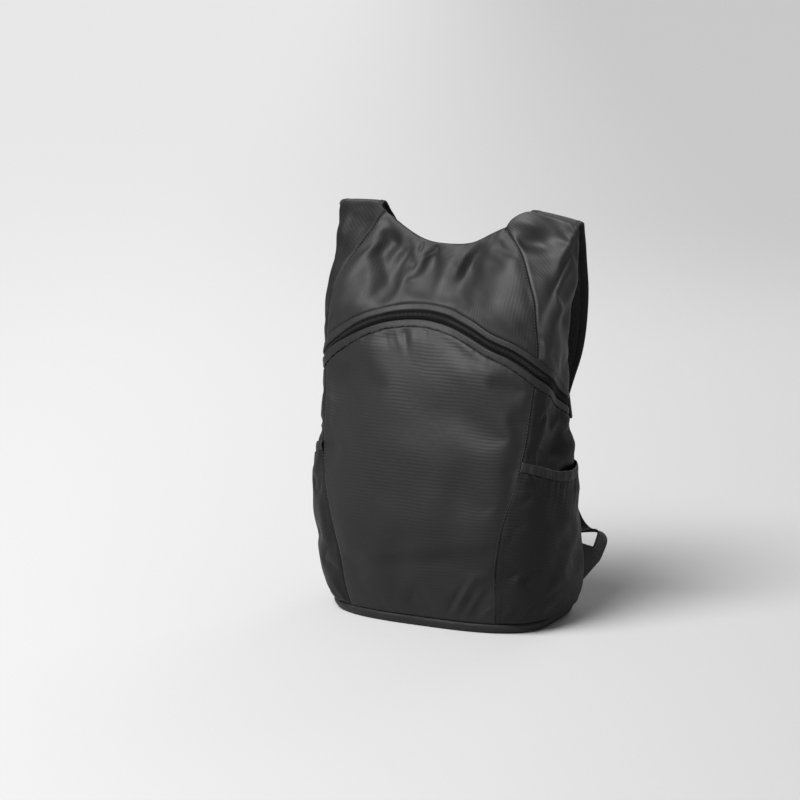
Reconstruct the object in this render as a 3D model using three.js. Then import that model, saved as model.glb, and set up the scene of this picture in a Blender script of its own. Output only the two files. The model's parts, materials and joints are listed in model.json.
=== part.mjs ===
// A packable nylon backpack, zipped shut and standing on its base.
// Millimetres, +Z up, the front faces -Y, and the wearer's back goes against the +Y side.
// Every panel is a thin cloth wall cut from one body surface, so the bag is hollow.
import * as THREE from "three";

// ---- Driving sizes ----
const EAR_TOP = 389; // the inner end of the right shoulder's edge
const STANDARD_HEIGHT = 390; // the height that the profile's shares are taken from
const HALF_WIDTH = 126; // of the body at the ears; the profile's half widths are shares of it
const STRAP_RISE = 1.6; // a strap's root above the middle of its ear's edge
const YOKE_FOOT = 0.6; // below this share the rows are level; above it they follow the neckline
const ORIGIN_DEPTH = 10.75; // where the middle of the whole depth, straps included, lies
const WALL = 1.5; // cloth with its seam allowance
const GAP = 0.3; // clearance between neighbouring pieces
const BASE_SEAM = 10; // height of the seam round the base
const TOP_HALF_DEPTH = 1.8; // half the depth of the closed top edge
const FRONT_POWER = 3.0; // roundness of the plan's front half
const BACK_POWER = 4.4; // the back half is squarer
const EAR_INNER = 0.61; // share of the half width where a shoulder's straight edge starts
const EAR_MIDDLE = 0.8;
const EAR_LEAN = 0.1; // how far the straps' width turns back at the ears
const ZIP_WIDTH = 7;
const UPPER_BAND = 5;
const LOWER_BAND = 6;
const HEM_HEIGHT = 10;
const POCKET_CLEAR = 0.9; // between a pocket and the side that it lies on
const WEBBING_WIDTH = 25;
const WEBBING_THICK = 1.6;
const FRONT_STEPS = 18;
const SIDE_STEPS = 9;
const BACK_STEPS = 14;
const LOWER_ROWS = 14;
const UPPER_ROWS = 10;
const ZIP_ROWS = 2;

// ---- Tables ----
// The body's plan at each share of the height: half width, front and back.
const PROFILE = [
  { share: 0.0, half: 0.8889, front: -61, back: 70 },
  { share: 0.026, half: 0.9167, front: -63, back: 74 },
  { share: 0.08, half: 0.9524, front: -70, back: 77 },
  { share: 0.15, half: 0.9603, front: -76, back: 74 },
  { share: 0.28, half: 0.9603, front: -84, back: 61 },
  { share: 0.43, half: 0.9484, front: -80, back: 49.5 },
  { share: 0.52, half: 0.9444, front: -73, back: 46 },
  { share: 0.6, half: 0.9484, front: -66, back: 45.5 },
  { share: 0.7, half: 0.9563, front: -57, back: 46 },
  { share: 0.77, half: 0.9643, front: -49, back: 45 },
  { share: 0.84, half: 0.9722, front: -34, back: 41 },
  { share: 0.9, half: 0.9802, front: -19, back: 33 },
  { share: 0.95, half: 0.9921, front: -9, back: 19 },
  { share: 1.0, half: 1, front: -TOP_HALF_DEPTH, back: TOP_HALF_DEPTH },
];
// The top edge out from the middle: its height on each side, and how far back it leans.
const NECKLINE = [
  { across: 0.0, left: 358.5, right: 358.5, lean: 0 },
  { across: 0.12, left: 359, right: 359, lean: 1 },
  { across: 0.22, left: 361.5, right: 362, lean: 2.5 },
  { across: 0.32, left: 367, right: 368.5, lean: 4 },
  { across: 0.45, left: 375.5, right: 377, lean: 7 },
  { across: 0.53, left: 381.5, right: 382, lean: 10 },
  { across: EAR_INNER, left: EAR_TOP - 1, right: EAR_TOP, lean: 13.5 },
  { across: EAR_MIDDLE, left: EAR_TOP - 2, right: EAR_TOP - 4.9, lean: 17 },
  { across: 1.0, left: EAR_TOP - 3, right: EAR_TOP - 10, lean: 20 },
];
// The seams between the front and the sides, as shares of the half width.
const SIDE_SEAM = [
  { share: 0.026, left: 0.66, right: 0.66 },
  { share: 0.134, left: 0.67, right: 0.67 },
  { share: 0.22, left: 0.715, right: 0.715 },
  { share: 0.294, left: 0.775, right: 0.77 },
  { share: 0.353, left: 0.84, right: 0.83 },
  { share: 0.435, left: 0.89, right: 0.885 },
  { share: 0.5, left: 0.91, right: 0.91 },
  { share: 0.6, left: 0.92, right: 0.92 },
  { share: 0.68, left: 0.93, right: 0.925 },
  { share: 0.75, left: 0.915, right: 0.895 },
  { share: 0.81, left: 0.88, right: 0.85 },
  { share: 0.86, left: 0.83, right: 0.765 },
  { share: 0.9, left: 0.76, right: 0.68 },
  { share: 0.945, left: 0.66, right: 0.57 },
  { share: 1.0, left: 0.56, right: 0.449 },
];
// The seams between the sides and the back, in degrees round the plan from the front.
const BACK_SEAM = [
  { share: 0.026, turn: 132 },
  { share: 0.6, turn: 132 },
  { share: 0.8, turn: 128 },
  { share: 0.92, turn: 117 },
  { share: 1.0, turn: 96 },
];
// The zip's centre line from the middle of the front round to each back seam.
const ZIP_LINE = [
  { turn: 0, left: 297.5, right: 297.5 },
  { turn: 8, left: 296.8, right: 295 },
  { turn: 20, left: 292, right: 287 },
  { turn: 30, left: 283.5, right: 276.5 },
  { turn: 41, left: 271, right: 267.5 },
  { turn: 50, left: 261, right: 258 },
  { turn: 60, left: 251, right: 248.5 },
  { turn: 90, left: 234, right: 231 },
  { turn: 132, left: 208, right: 206 },
];
// The mouth of a side pocket from the front seam to the back seam: its height, and how far it
// stands off the side.
const POCKET_MOUTH = [
  { along: 0.0, height: 165, gape: 0 },
  { along: 0.25, height: 160, gape: 0.6 },
  { along: 0.45, height: 156, gape: 3.5 },
  { along: 0.65, height: 154.5, gape: 7.5 },
  { along: 0.82, height: 155, gape: 6.5 },
  { along: 1.0, height: 156, gape: 0 },
];
// Broad dents (negative) and swells of the front cloth, placed in the front view.
const FRONT_FOLDS = [
  { x: -90, z: 216, length: 62, width: 20, turn: 84, rise: -6.5 },
  { x: -10, z: 190, length: 110, width: 42, turn: 90, rise: 4 },
  { x: 52, z: 160, length: 80, width: 24, turn: 100, rise: -3.5 },
  { x: -62, z: 350, length: 22, width: 9, turn: 66, rise: -6 },
  { x: -46, z: 330, length: 32, width: 8, turn: 62, rise: -6 },
  { x: -30, z: 338, length: 30, width: 7, turn: 76, rise: 4 },
  { x: -12, z: 346, length: 20, width: 7, turn: 96, rise: -4 },
  { x: 8, z: 342, length: 24, width: 8, turn: 84, rise: 3 },
  { x: 30, z: 330, length: 30, width: 12, turn: 75, rise: -4.5 },
  { x: 60, z: 335, length: 36, width: 15, turn: 98, rise: 3.5 },
  { x: 98, z: 372, length: 18, width: 8, turn: 165, rise: -5 },
  { x: 104, z: 346, length: 42, width: 8, turn: 118, rise: -6 },
  { x: -98, z: 360, length: 30, width: 11, turn: 64, rise: -5 },
  { x: 66, z: 32, length: 26, width: 8, turn: 56, rise: -4.5 },
];
// Broad dents of the side cloth, placed by depth and height.
const SIDE_FOLDS = [
  { y: -6, z: 210, length: 60, width: 20, turn: 70, rise: -5 },
  { y: 10, z: 300, length: 46, width: 16, turn: 110, rise: -4 },
  { y: -20, z: 90, length: 60, width: 24, turn: 95, rise: 3 },
];
// A shoulder strap's centre line on the right side, from its seam on the ear down to its lock;
// slope is the rise of its width direction, as a share of the ear's own slope.
const STRAP = [
  { x: 101.5, y: 17.2, z: 385.7, width: 49, thick: 3.4, slope: 1 },
  { x: 101.4, y: 18, z: 387.5, width: 49.4, thick: 3.6, slope: 1 },
  { x: 101.2, y: 21, z: 389, width: 50, thick: 3.8, slope: 1 },
  { x: 100.6, y: 27, z: 388.4, width: 50, thick: 4, slope: 0.95 },
  { x: 98.6, y: 34.5, z: 383.4, width: 50.5, thick: 4, slope: 0.8 },
  { x: 95.5, y: 41.5, z: 374, width: 52, thick: 4, slope: 0.6 },
  { x: 92.2, y: 48.5, z: 359.5, width: 55.5, thick: 4, slope: 0.4 },
  { x: 89, y: 55, z: 340.5, width: 59, thick: 4, slope: 0.25 },
  { x: 87.2, y: 60, z: 317, width: 62, thick: 4, slope: 0.1 },
  { x: 87, y: 62.5, z: 292, width: 59.5, thick: 4, slope: 0 },
  { x: 87, y: 63, z: 268, width: 54.5, thick: 4, slope: 0 },
  { x: 86.4, y: 62.5, z: 247, width: 47.5, thick: 4, slope: 0 },
  { x: 85.4, y: 61.5, z: 228, width: 38, thick: 3.8, slope: 0 },
  { x: 85, y: 60.5, z: 211, width: 29, thick: 3.2, slope: 0 },
];
// The webbing from the wing at the base up to the lock; w is its width direction.
const WEBBING = [
  { x: 121.5, y: 80.2, z: 52.4, wx: 0, wy: 0.784, wz: -0.62 },
  { x: 122.4, y: 84.8, z: 58.6, wx: 0.02, wy: 0.784, wz: -0.62 },
  { x: 122.8, y: 89.8, z: 65, wx: 0.05, wy: 0.79, wz: -0.61 },
  { x: 120.6, y: 92.6, z: 68.6, wx: 0.08, wy: 0.83, wz: -0.5 },
  { x: 115.5, y: 94.5, z: 69.8, wx: 0.15, wy: 0.9, wz: -0.35 },
  { x: 107, y: 96, z: 68.6, wx: 0.25, wy: 0.93, wz: -0.15 },
  { x: 97, y: 96, z: 69.6, wx: 0.4, wy: 0.9, wz: 0 },
  { x: 88.5, y: 93.5, z: 77, wx: 0.65, wy: 0.72, wz: 0.2 },
  { x: 83.5, y: 88, z: 93, wx: 0.88, wy: 0.42, wz: 0.2 },
  { x: 81.5, y: 81, z: 117, wx: 1, wy: 0.1, wz: 0.05 },
  { x: 82, y: 73, z: 143, wx: 1, wy: 0, wz: 0 },
  { x: 84, y: 66, z: 169, wx: 1, wy: 0, wz: 0 },
  { x: 85, y: 61.5, z: 189, wx: 1, wy: 0, wz: 0 },
];

// ---- Materials ----
const cloth = (name, color, roughness = 0.62) =>
  new THREE.MeshStandardMaterial({ name, color, roughness, metalness: 0 });
const NYLON = cloth("black ripstop nylon", 0x2a2a2c);
const NYLON_DARK = cloth("black side nylon", 0x1e1e20);
const MESH_CLOTH = cloth("black strap mesh", 0x161617, 0.8);
const WEB_CLOTH = cloth("black webbing", 0x141414, 0.75);
const COIL = cloth("black zip coil", 0x111112, 0.5);
const PLASTIC = cloth("black acetal", 0x121213, 0.45);

// ---- Interpolation ----
// A smooth curve through one column of a table, with no overshoot between its rows.
function curve(rows, from, to) {
  const n = rows.length;
  const secant = [];
  for (let k = 0; k < n - 1; k++) {
    secant.push((rows[k + 1][to] - rows[k][to]) / (rows[k + 1][from] - rows[k][from]));
  }
  const slope = rows.map((_, k) => {
    if (k === 0) return secant[0];
    if (k === n - 1) return secant[n - 2];
    const a = secant[k - 1];
    const b = secant[k];
    return a * b <= 0 ? 0 : (2 * a * b) / (a + b);
  });
  return (at) => {
    const t = Math.min(Math.max(at, rows[0][from]), rows[n - 1][from]);
    let k = 0;
    while (k < n - 2 && t > rows[k + 1][from]) k++;
    const h = rows[k + 1][from] - rows[k][from];
    const u = (t - rows[k][from]) / h;
    const keep = (1 + 2 * u) * (1 - u) ** 2;
    const gain = u * u * (3 - 2 * u);
    return (
      keep * rows[k][to] +
      gain * rows[k + 1][to] +
      h * u * (1 - u) ** 2 * slope[k] -
      h * u * u * (1 - u) * slope[k + 1]
    );
  };
}

const halfShare = curve(PROFILE, "share", "half");
const halfWidth = (share) => HALF_WIDTH * halfShare(share);
const frontFace = curve(PROFILE, "share", "front");
const backFace = curve(PROFILE, "share", "back");
const topLeft = curve(NECKLINE, "across", "left");
const topRight = curve(NECKLINE, "across", "right");
const topLean = curve(NECKLINE, "across", "lean");
const seamLeft = curve(SIDE_SEAM, "share", "left");
const seamRight = curve(SIDE_SEAM, "share", "right");
const backTurn = curve(BACK_SEAM, "share", "turn");
const zipLeft = curve(ZIP_LINE, "turn", "left");
const zipRight = curve(ZIP_LINE, "turn", "right");
const mouthHeight = curve(POCKET_MOUTH, "along", "height");
const mouthGape = curve(POCKET_MOUTH, "along", "gape");

const lerp = (a, b, t) => a + (b - a) * t;
const clamp01 = (t) => Math.min(Math.max(t, 0), 1);
const smooth = (t) => clamp01(t) ** 2 * (3 - 2 * clamp01(t));
const radians = (deg) => (deg * Math.PI) / 180;
const degrees = (rad) => (rad * 180) / Math.PI;

// ---- The body surface ----
// Where a turn round the plan lies: its side, its shares of the half width and half depth, and
// the roundness of its half.
function planAt(turn) {
  const power = Math.cos(turn) >= 0 ? FRONT_POWER : BACK_POWER;
  const sin = Math.abs(Math.sin(turn));
  const cos = Math.abs(Math.cos(turn));
  const reach = (sin ** power + cos ** power) ** (-1 / power);
  return { side: Math.sin(turn) < 0 ? -1 : 1, across: sin * reach, deep: cos * reach, power };
}

// The top edge's height on the column at a turn.
function topAt(turn) {
  const { side, across } = planAt(turn);
  return side < 0 ? topLeft(across) : topRight(across);
}

// Height of the row at a share, on the column at a turn.
function rowHeight(share, turn) {
  const foot = YOKE_FOOT * STANDARD_HEIGHT;
  if (share <= YOKE_FOOT) return share * STANDARD_HEIGHT;
  return lerp(foot, topAt(turn), (share - YOKE_FOOT) / (1 - YOKE_FOOT));
}

// The share of the row that passes a height on a column.
function shareAt(height, turn) {
  const foot = YOKE_FOOT * STANDARD_HEIGHT;
  if (height <= foot) return height / STANDARD_HEIGHT;
  return lerp(YOKE_FOOT, 1, (height - foot) / (topAt(turn) - foot));
}

// The push of a table of folds at one place on a face.
function foldPush(folds, along, at, z) {
  let push = 0;
  for (const f of folds) {
    const du = at - f[along];
    const dz = z - f.z;
    const run = du * Math.cos(radians(f.turn)) + dz * Math.sin(radians(f.turn));
    const off = dz * Math.cos(radians(f.turn)) - du * Math.sin(radians(f.turn));
    push += f.rise * Math.exp(-((run / f.length) ** 2) - (off / f.width) ** 2);
  }
  return push;
}

// The turn on the front half that reaches a share of the half width.
const turnAt = (across) => Math.atan2(across, (1 - across ** FRONT_POWER) ** (1 / FRONT_POWER));

// A point of the body: turn in radians from the front's middle, share of the height, and how
// far it lies outside (positive) or inside the cloth's outer face.
function body(turn, share, lift = 0) {
  const { side, across, deep, power } = planAt(turn);
  const face = Math.cos(turn) >= 0 ? -1 : 1;
  const half = halfWidth(share);
  const depth = (backFace(share) - frontFace(share)) / 2;
  const lean = topLean(across) * clamp01((share - 0.8) / 0.2) ** 1.5;
  const middle = (backFace(share) + frontFace(share)) / 2 + lean;
  const z = rowHeight(share, turn);
  const x = side * (half + lift) * across;
  const y = middle + face * (depth + lift) * deep;
  const nx = (side * across ** (power - 1)) / half;
  const ny = (face * deep ** (power - 1)) / depth;
  const size = Math.hypot(nx, ny);
  const frontal = smooth((-face * deep - 0.3) / 0.5);
  const sideways = smooth((across - 0.85) / 0.13);
  const room = smooth((depth - TOP_HALF_DEPTH) / 14) * smooth((z - BASE_SEAM) / 30);
  const push =
    room * (frontal * foldPush(FRONT_FOLDS, "x", x, z) + sideways * foldPush(SIDE_FOLDS, "y", y, z));
  return new THREE.Vector3(x + (push * nx) / size, y + (push * ny) / size, z);
}

// A turn moved along the body by a distance, at one share of the height.
function nudge(turn, share, distance) {
  const step = 0.004;
  const run = body(turn + step, share).distanceTo(body(turn - step, share)) / (2 * step);
  return turn + distance / Math.max(run, 20);
}

const leftSeam = (share) => -turnAt(seamLeft(share));
const rightSeam = (share) => turnAt(seamRight(share));
const leftBack = (share) => -radians(backTurn(share));
const rightBack = (share) => radians(backTurn(share));

// The share that lies a distance above the zip's centre line, measured square to the line.
function besideZip(turn, distance) {
  const step = 0.03;
  const at = (t) => (Math.sin(t) < 0 ? zipLeft : zipRight)(degrees(Math.abs(t)));
  const share = shareAt(at(turn), turn);
  const run = body(turn + step, share).distanceTo(body(turn - step, share));
  const rise = at(turn + step) - at(turn - step);
  const stretch = Math.min(Math.hypot(run, rise) / Math.max(run, 1e-6), 1.5);
  return shareAt(at(turn) + distance * stretch, turn);
}

// ---- Solids ----
// A closed mesh from points and index triples, turned face out.
function closedMesh(name, material, points, faces) {
  let volume = 0;
  for (const [a, b, c] of faces) {
    volume += points[a].dot(new THREE.Vector3().crossVectors(points[b], points[c]));
  }
  const turned = volume < 0 ? faces.map(([a, b, c]) => [a, c, b]) : faces;
  const geometry = new THREE.BufferGeometry();
  geometry.setAttribute(
    "position",
    new THREE.Float32BufferAttribute(points.flatMap((p) => [p.x, p.y, p.z]), 3),
  );
  geometry.setIndex(turned.flat());
  geometry.computeVertexNormals();
  const mesh = new THREE.Mesh(geometry, material);
  mesh.name = name;
  return mesh;
}

// A thin wall: a grid of places with an outer and an inner point each.
function wall(name, material, across, up, place) {
  const points = [];
  const faces = [];
  const at = (layer, i, j) => (layer * (across + 1) + i) * (up + 1) + j;
  for (let layer = 0; layer < 2; layer++) {
    for (let i = 0; i <= across; i++) {
      for (let j = 0; j <= up; j++) points.push(place(i / across, j / up)[layer]);
    }
  }
  const quad = (a, b, c, d) => faces.push([a, b, c], [a, c, d]);
  for (let i = 0; i < across; i++) {
    for (let j = 0; j < up; j++) {
      quad(at(0, i, j), at(0, i + 1, j), at(0, i + 1, j + 1), at(0, i, j + 1));
      quad(at(1, i, j), at(1, i, j + 1), at(1, i + 1, j + 1), at(1, i + 1, j));
    }
    quad(at(0, i, 0), at(1, i, 0), at(1, i + 1, 0), at(0, i + 1, 0));
    quad(at(0, i, up), at(0, i + 1, up), at(1, i + 1, up), at(1, i, up));
  }
  for (let j = 0; j < up; j++) {
    quad(at(0, 0, j), at(0, 0, j + 1), at(1, 0, j + 1), at(1, 0, j));
    quad(at(0, across, j), at(1, across, j), at(1, across, j + 1), at(0, across, j + 1));
  }
  return closedMesh(name, material, points, faces);
}

// A panel of the body between two seams; climb gives the share at a turn and a row.
function panel(name, material, steps, rows, seams, climb) {
  const [start, end] = seams;
  return wall(name, material, steps, rows, (s, t) => {
    let share = lerp(0.3, 0.9, t);
    let turn = 0;
    for (let pass = 0; pass < 12; pass++) {
      const from = nudge(start(share), share, GAP / 2);
      const to = nudge(end(share), share, -GAP / 2);
      turn = lerp(from, to, s);
      share = climb(turn, t);
    }
    return [body(turn, share), body(turn, share, -WALL)];
  });
}

// A flat band swept along stations, each with a centre, a width direction, a width and a
// thickness; its long edges are bevelled by the thickness.
function ribbon(name, material, stations) {
  const points = [];
  const faces = [];
  const last = stations.length - 1;
  stations.forEach((s, k) => {
    const before = stations[Math.max(k - 1, 0)].at;
    const after = stations[Math.min(k + 1, last)].at;
    const along = after.clone().sub(before).normalize();
    const side = s.across.clone().normalize();
    const out = new THREE.Vector3().crossVectors(along, side).normalize();
    const section = [
      [-0.5, 0],
      [-0.5 + s.bevel, 0.5],
      [0.5 - s.bevel, 0.5],
      [0.5, 0],
      [0.5 - s.bevel, -0.5],
      [-0.5 + s.bevel, -0.5],
    ];
    for (const [w, h] of section) {
      points.push(
        s.at.clone().addScaledVector(side, w * s.width).addScaledVector(out, h * s.thick),
      );
    }
  });
  for (let k = 0; k < last; k++) {
    for (let m = 0; m < 6; m++) {
      const a = k * 6 + m;
      const b = k * 6 + ((m + 1) % 6);
      faces.push([a, b, b + 6], [a, b + 6, a + 6]);
    }
  }
  for (let m = 1; m < 5; m++) {
    faces.push([0, m + 1, m], [last * 6, last * 6 + m, last * 6 + m + 1]);
  }
  return closedMesh(name, material, points, faces);
}

// A flat plate: a loop of points and its thickness along a direction.
function plate(name, material, loop, direction, thick) {
  const shift = direction.clone().normalize().multiplyScalar(thick / 2);
  const n = loop.length;
  const points = [...loop.map((p) => p.clone().add(shift)), ...loop.map((p) => p.clone().sub(shift))];
  const faces = [];
  for (let k = 1; k < n - 1; k++) faces.push([0, k, k + 1], [n, n + k + 1, n + k]);
  for (let k = 0; k < n; k++) {
    const next = (k + 1) % n;
    faces.push([k, n + k, n + next], [k, n + next, next]);
  }
  return closedMesh(name, material, points, faces);
}

// The base: a flat floor whose rim turns up to the seam round the base.
function basePanel() {
  const share = BASE_SEAM / STANDARD_HEIGHT;
  const stops = [];
  const add = (from, to, steps) => {
    for (let i = 0; i < steps; i++) stops.push(lerp(from, to, i / steps));
  };
  add(leftSeam(share), rightSeam(share), FRONT_STEPS);
  add(rightSeam(share), rightBack(share), SIDE_STEPS);
  add(rightBack(share), 2 * Math.PI - rightBack(share), BACK_STEPS);
  add(2 * Math.PI - rightBack(share), 2 * Math.PI + leftSeam(share), SIDE_STEPS);
  const rim = (turn, lift) => body(turn, share, lift);
  const centre = (rim(0, 0).y + rim(Math.PI, 0).y) / 2;
  const rings = [
    { size: 0.5, z: 0, lift: 0 },
    { size: 0.93, z: 0, lift: 0 },
    { size: 0.97, z: 1.2, lift: 0 },
    { size: 0.992, z: 4.5, lift: 0 },
    { size: 1, z: BASE_SEAM - GAP, lift: 0 },
    { size: 1, z: BASE_SEAM - GAP, lift: -WALL },
    { size: 0.985, z: 5, lift: -WALL },
    { size: 0.955, z: 1.2 + WALL, lift: -WALL },
    { size: 0.92, z: WALL, lift: -WALL },
    { size: 0.5, z: WALL, lift: -WALL },
  ];
  const points = [];
  const faces = [];
  const n = stops.length;
  for (const ring of rings) {
    for (const turn of stops) {
      const p = rim(turn, ring.lift);
      points.push(new THREE.Vector3(p.x * ring.size, lerp(centre, p.y, ring.size), ring.z));
    }
  }
  for (let k = 0; k < rings.length - 1; k++) {
    for (let i = 0; i < n; i++) {
      const a = k * n + i;
      const b = k * n + ((i + 1) % n);
      faces.push([a, b, b + n], [a, b + n, a + n]);
    }
  }
  const floor = points.push(new THREE.Vector3(0, centre, 0)) - 1;
  const inside = points.push(new THREE.Vector3(0, centre, WALL)) - 1;
  const top = (rings.length - 1) * n;
  for (let i = 0; i < n; i++) {
    faces.push([floor, (i + 1) % n, i], [inside, top + i, top + ((i + 1) % n)]);
  }
  return closedMesh("base_panel", NYLON, points, faces);
}

// One strip of the zip, between two distances from the zip's centre line.
function zipStrip(name, material, low, high, lift) {
  const whole = 2 * SIDE_STEPS + FRONT_STEPS;
  return wall(name, material, whole, 1, (s, t) => {
    const step = Math.round(s * whole);
    let share = 0.7;
    let turn = 0;
    for (let pass = 0; pass < 12; pass++) {
      if (step < SIDE_STEPS) {
        turn = lerp(nudge(leftBack(share), share, GAP), leftSeam(share), step / SIDE_STEPS);
      } else if (step <= SIDE_STEPS + FRONT_STEPS) {
        turn = lerp(leftSeam(share), rightSeam(share), (step - SIDE_STEPS) / FRONT_STEPS);
      } else {
        const rest = (step - SIDE_STEPS - FRONT_STEPS) / SIDE_STEPS;
        turn = lerp(rightSeam(share), nudge(rightBack(share), share, -GAP), rest);
      }
      share = besideZip(turn, lerp(low, high, t));
    }
    return [body(turn, share, lift), body(turn, share, lift - WALL)];
  });
}

// A side pocket or its hem: a wall outside the lower side, standing off most at the mouth.
function pocketWall(name, material, side, rows, from, to, extra) {
  const seam = side > 0 ? rightSeam : leftSeam;
  const back = side > 0 ? rightBack : leftBack;
  return wall(name, material, SIDE_STEPS, rows, (s, t) => {
    const mouth = mouthHeight(s);
    const z = lerp(from(mouth), to(mouth), t);
    const share = z / STANDARD_HEIGHT;
    const edge = nudge(seam(share), share, side * GAP);
    const end = nudge(back(share), share, -side * GAP);
    const turn = lerp(edge, end, s);
    const gape = mouthGape(s) * lerp(z / mouth, smooth(z / mouth), 0.8);
    return [
      body(turn, share, POCKET_CLEAR + WALL + gape + extra),
      body(turn, share, POCKET_CLEAR + gape),
    ];
  });
}

// ---- Assembly ----
const ZIP_TOP = ZIP_WIDTH / 2 + GAP + UPPER_BAND;
const ZIP_FOOT = -ZIP_WIDTH / 2 - GAP - LOWER_BAND;
const BASE_EDGE = BASE_SEAM / STANDARD_HEIGHT;
const underZip = (turn) => besideZip(turn, ZIP_FOOT - GAP);
const overZip = (turn) => besideZip(turn, ZIP_TOP + GAP);
const climbLower = (turn, t) => lerp(BASE_EDGE, underZip(turn), t);
const climbUpper = (turn, t) => lerp(overZip(turn), 1, t);
const mirror = (side, p) => new THREE.Vector3(side * p.x, p.y, p.z);

function frontPanels() {
  const seams = [leftSeam, rightSeam];
  return [
    panel("front_lower_panel", NYLON, FRONT_STEPS, LOWER_ROWS, seams, climbLower),
    panel("front_yoke", NYLON, FRONT_STEPS, UPPER_ROWS, seams, climbUpper),
  ];
}

function sidePanels(tag, side) {
  const seams = side > 0 ? [rightSeam, rightBack] : [leftBack, leftSeam];
  return [
    panel("side_lower_" + tag, NYLON_DARK, SIDE_STEPS, LOWER_ROWS, seams, climbLower),
    panel("shoulder_panel_" + tag, NYLON, SIDE_STEPS, UPPER_ROWS, seams, climbUpper),
  ];
}

// The back in one piece; its rows meet those of the side panels along the seams.
function backPanel() {
  const seams = [rightBack, (share) => 2 * Math.PI - rightBack(share)];
  const rows = LOWER_ROWS + ZIP_ROWS + UPPER_ROWS;
  const cross = (edge) => {
    let share = 0.6;
    for (let pass = 0; pass < 12; pass++) share = edge(nudge(rightBack(share), share, -GAP / 2));
    return share;
  };
  const foot = cross(underZip);
  const top = cross(overZip);
  const climb = (_, t) => {
    const row = Math.round(t * rows);
    if (row <= LOWER_ROWS) return lerp(BASE_EDGE, foot, row / LOWER_ROWS);
    const past = row - LOWER_ROWS;
    if (past <= ZIP_ROWS) return lerp(foot, top, past / ZIP_ROWS);
    return lerp(top, 1, (past - ZIP_ROWS) / UPPER_ROWS);
  };
  return panel("back_panel", NYLON_DARK, BACK_STEPS, rows, seams, climb);
}

function zip() {
  const half = ZIP_WIDTH / 2;
  return [
    zipStrip("zip_band_upper", NYLON, half + GAP, ZIP_TOP, 0.7),
    zipStrip("zip_tape", COIL, -half, half, 0),
    zipStrip("zip_band_lower", NYLON, ZIP_FOOT, -half - GAP, 0.7),
    zipSlider(),
  ];
}

// The slider's plain body, out of sight at the zip's far left end.
function zipSlider() {
  const turn = -radians(122);
  const share = besideZip(turn, 0);
  const at = body(turn, share, GAP + 1.5);
  const out = body(turn, share, 10).sub(body(turn, share, 0)).setZ(0).normalize();
  const along = body(turn + 0.05, besideZip(turn + 0.05, 0)).sub(body(turn, share)).normalize();
  const up = new THREE.Vector3().crossVectors(out, along).normalize();
  const corner = (a, b) => at.clone().addScaledVector(along, a).addScaledVector(up, b);
  const loop = [corner(-6, -2.5), corner(-4, -3.4), corner(5, -3.4), corner(6, -2)];
  loop.push(corner(6, 2), corner(5, 3.4), corner(-4, 3.4), corner(-6, 2.5));
  return plate("zip_slider", PLASTIC, loop, out, 2.4);
}

function pocket(tag, side) {
  const hemFoot = (mouth) => mouth - HEM_HEIGHT;
  const foot = () => BASE_SEAM + 1;
  const brim = (mouth) => mouth - HEM_HEIGHT - GAP;
  const hemTop = (mouth) => mouth;
  return [
    pocketWall("side_pocket_" + tag, NYLON_DARK, side, 9, foot, brim, 0),
    pocketWall("pocket_hem_" + tag, NYLON_DARK, side, 1, hemFoot, hemTop, 0.8),
  ];
}

// Both straps share one table; each follows its own ear's height and slope at the top.
function strap(tag, side) {
  const top = side < 0 ? topLeft : topRight;
  const earSlope = (top(1) - top(EAR_INNER)) / ((1 - EAR_INNER) * halfWidth(1));
  const foot = STRAP[STRAP.length - 1].z;
  const higher = top(EAR_MIDDLE) + STRAP_RISE - STRAP[0].z;
  const stations = STRAP.map((row) => {
    const at = mirror(side, row);
    at.z += (higher * (row.z - foot)) / (STRAP[0].z - foot);
    return {
      at,
      across: new THREE.Vector3(side, EAR_LEAN * row.slope, earSlope * row.slope),
      width: row.width,
      thick: row.thick,
      bevel: 0.07,
    };
  });
  return ribbon("shoulder_strap_" + tag, MESH_CLOTH, stations);
}

function webbing(tag, side) {
  const stations = WEBBING.map((row) => ({
    at: mirror(side, row),
    across: new THREE.Vector3(side * row.wx, row.wy, row.wz),
    width: WEBBING_WIDTH,
    thick: WEBBING_THICK,
    bevel: 0.02,
  }));
  return ribbon("strap_webbing_" + tag, WEB_CLOTH, stations);
}

// The lock between a strap's padded end and its webbing: one plain plate.
function lock(tag, side) {
  const strapEnd = STRAP[STRAP.length - 1];
  const webEnd = WEBBING[WEBBING.length - 1];
  const top = strapEnd.z - GAP;
  const foot = webEnd.z + GAP;
  const yTop = strapEnd.y;
  const yFoot = webEnd.y;
  const half = 16;
  const loop = [
    [-half + 2, top, yTop],
    [half - 2, top, yTop],
    [half, top - 2, lerp(yTop, yFoot, 0.1)],
    [half, foot + 2, lerp(yTop, yFoot, 0.9)],
    [half - 2, foot, yFoot],
    [-half + 2, foot, yFoot],
    [-half, foot + 2, lerp(yTop, yFoot, 0.9)],
    [-half, top - 2, lerp(yTop, yFoot, 0.1)],
  ].map(([x, z, y]) => new THREE.Vector3(side * (webEnd.x + x), y, z));
  return plate("strap_lock_" + tag, PLASTIC, loop, new THREE.Vector3(0, 1, 0), 3.4);
}

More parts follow.
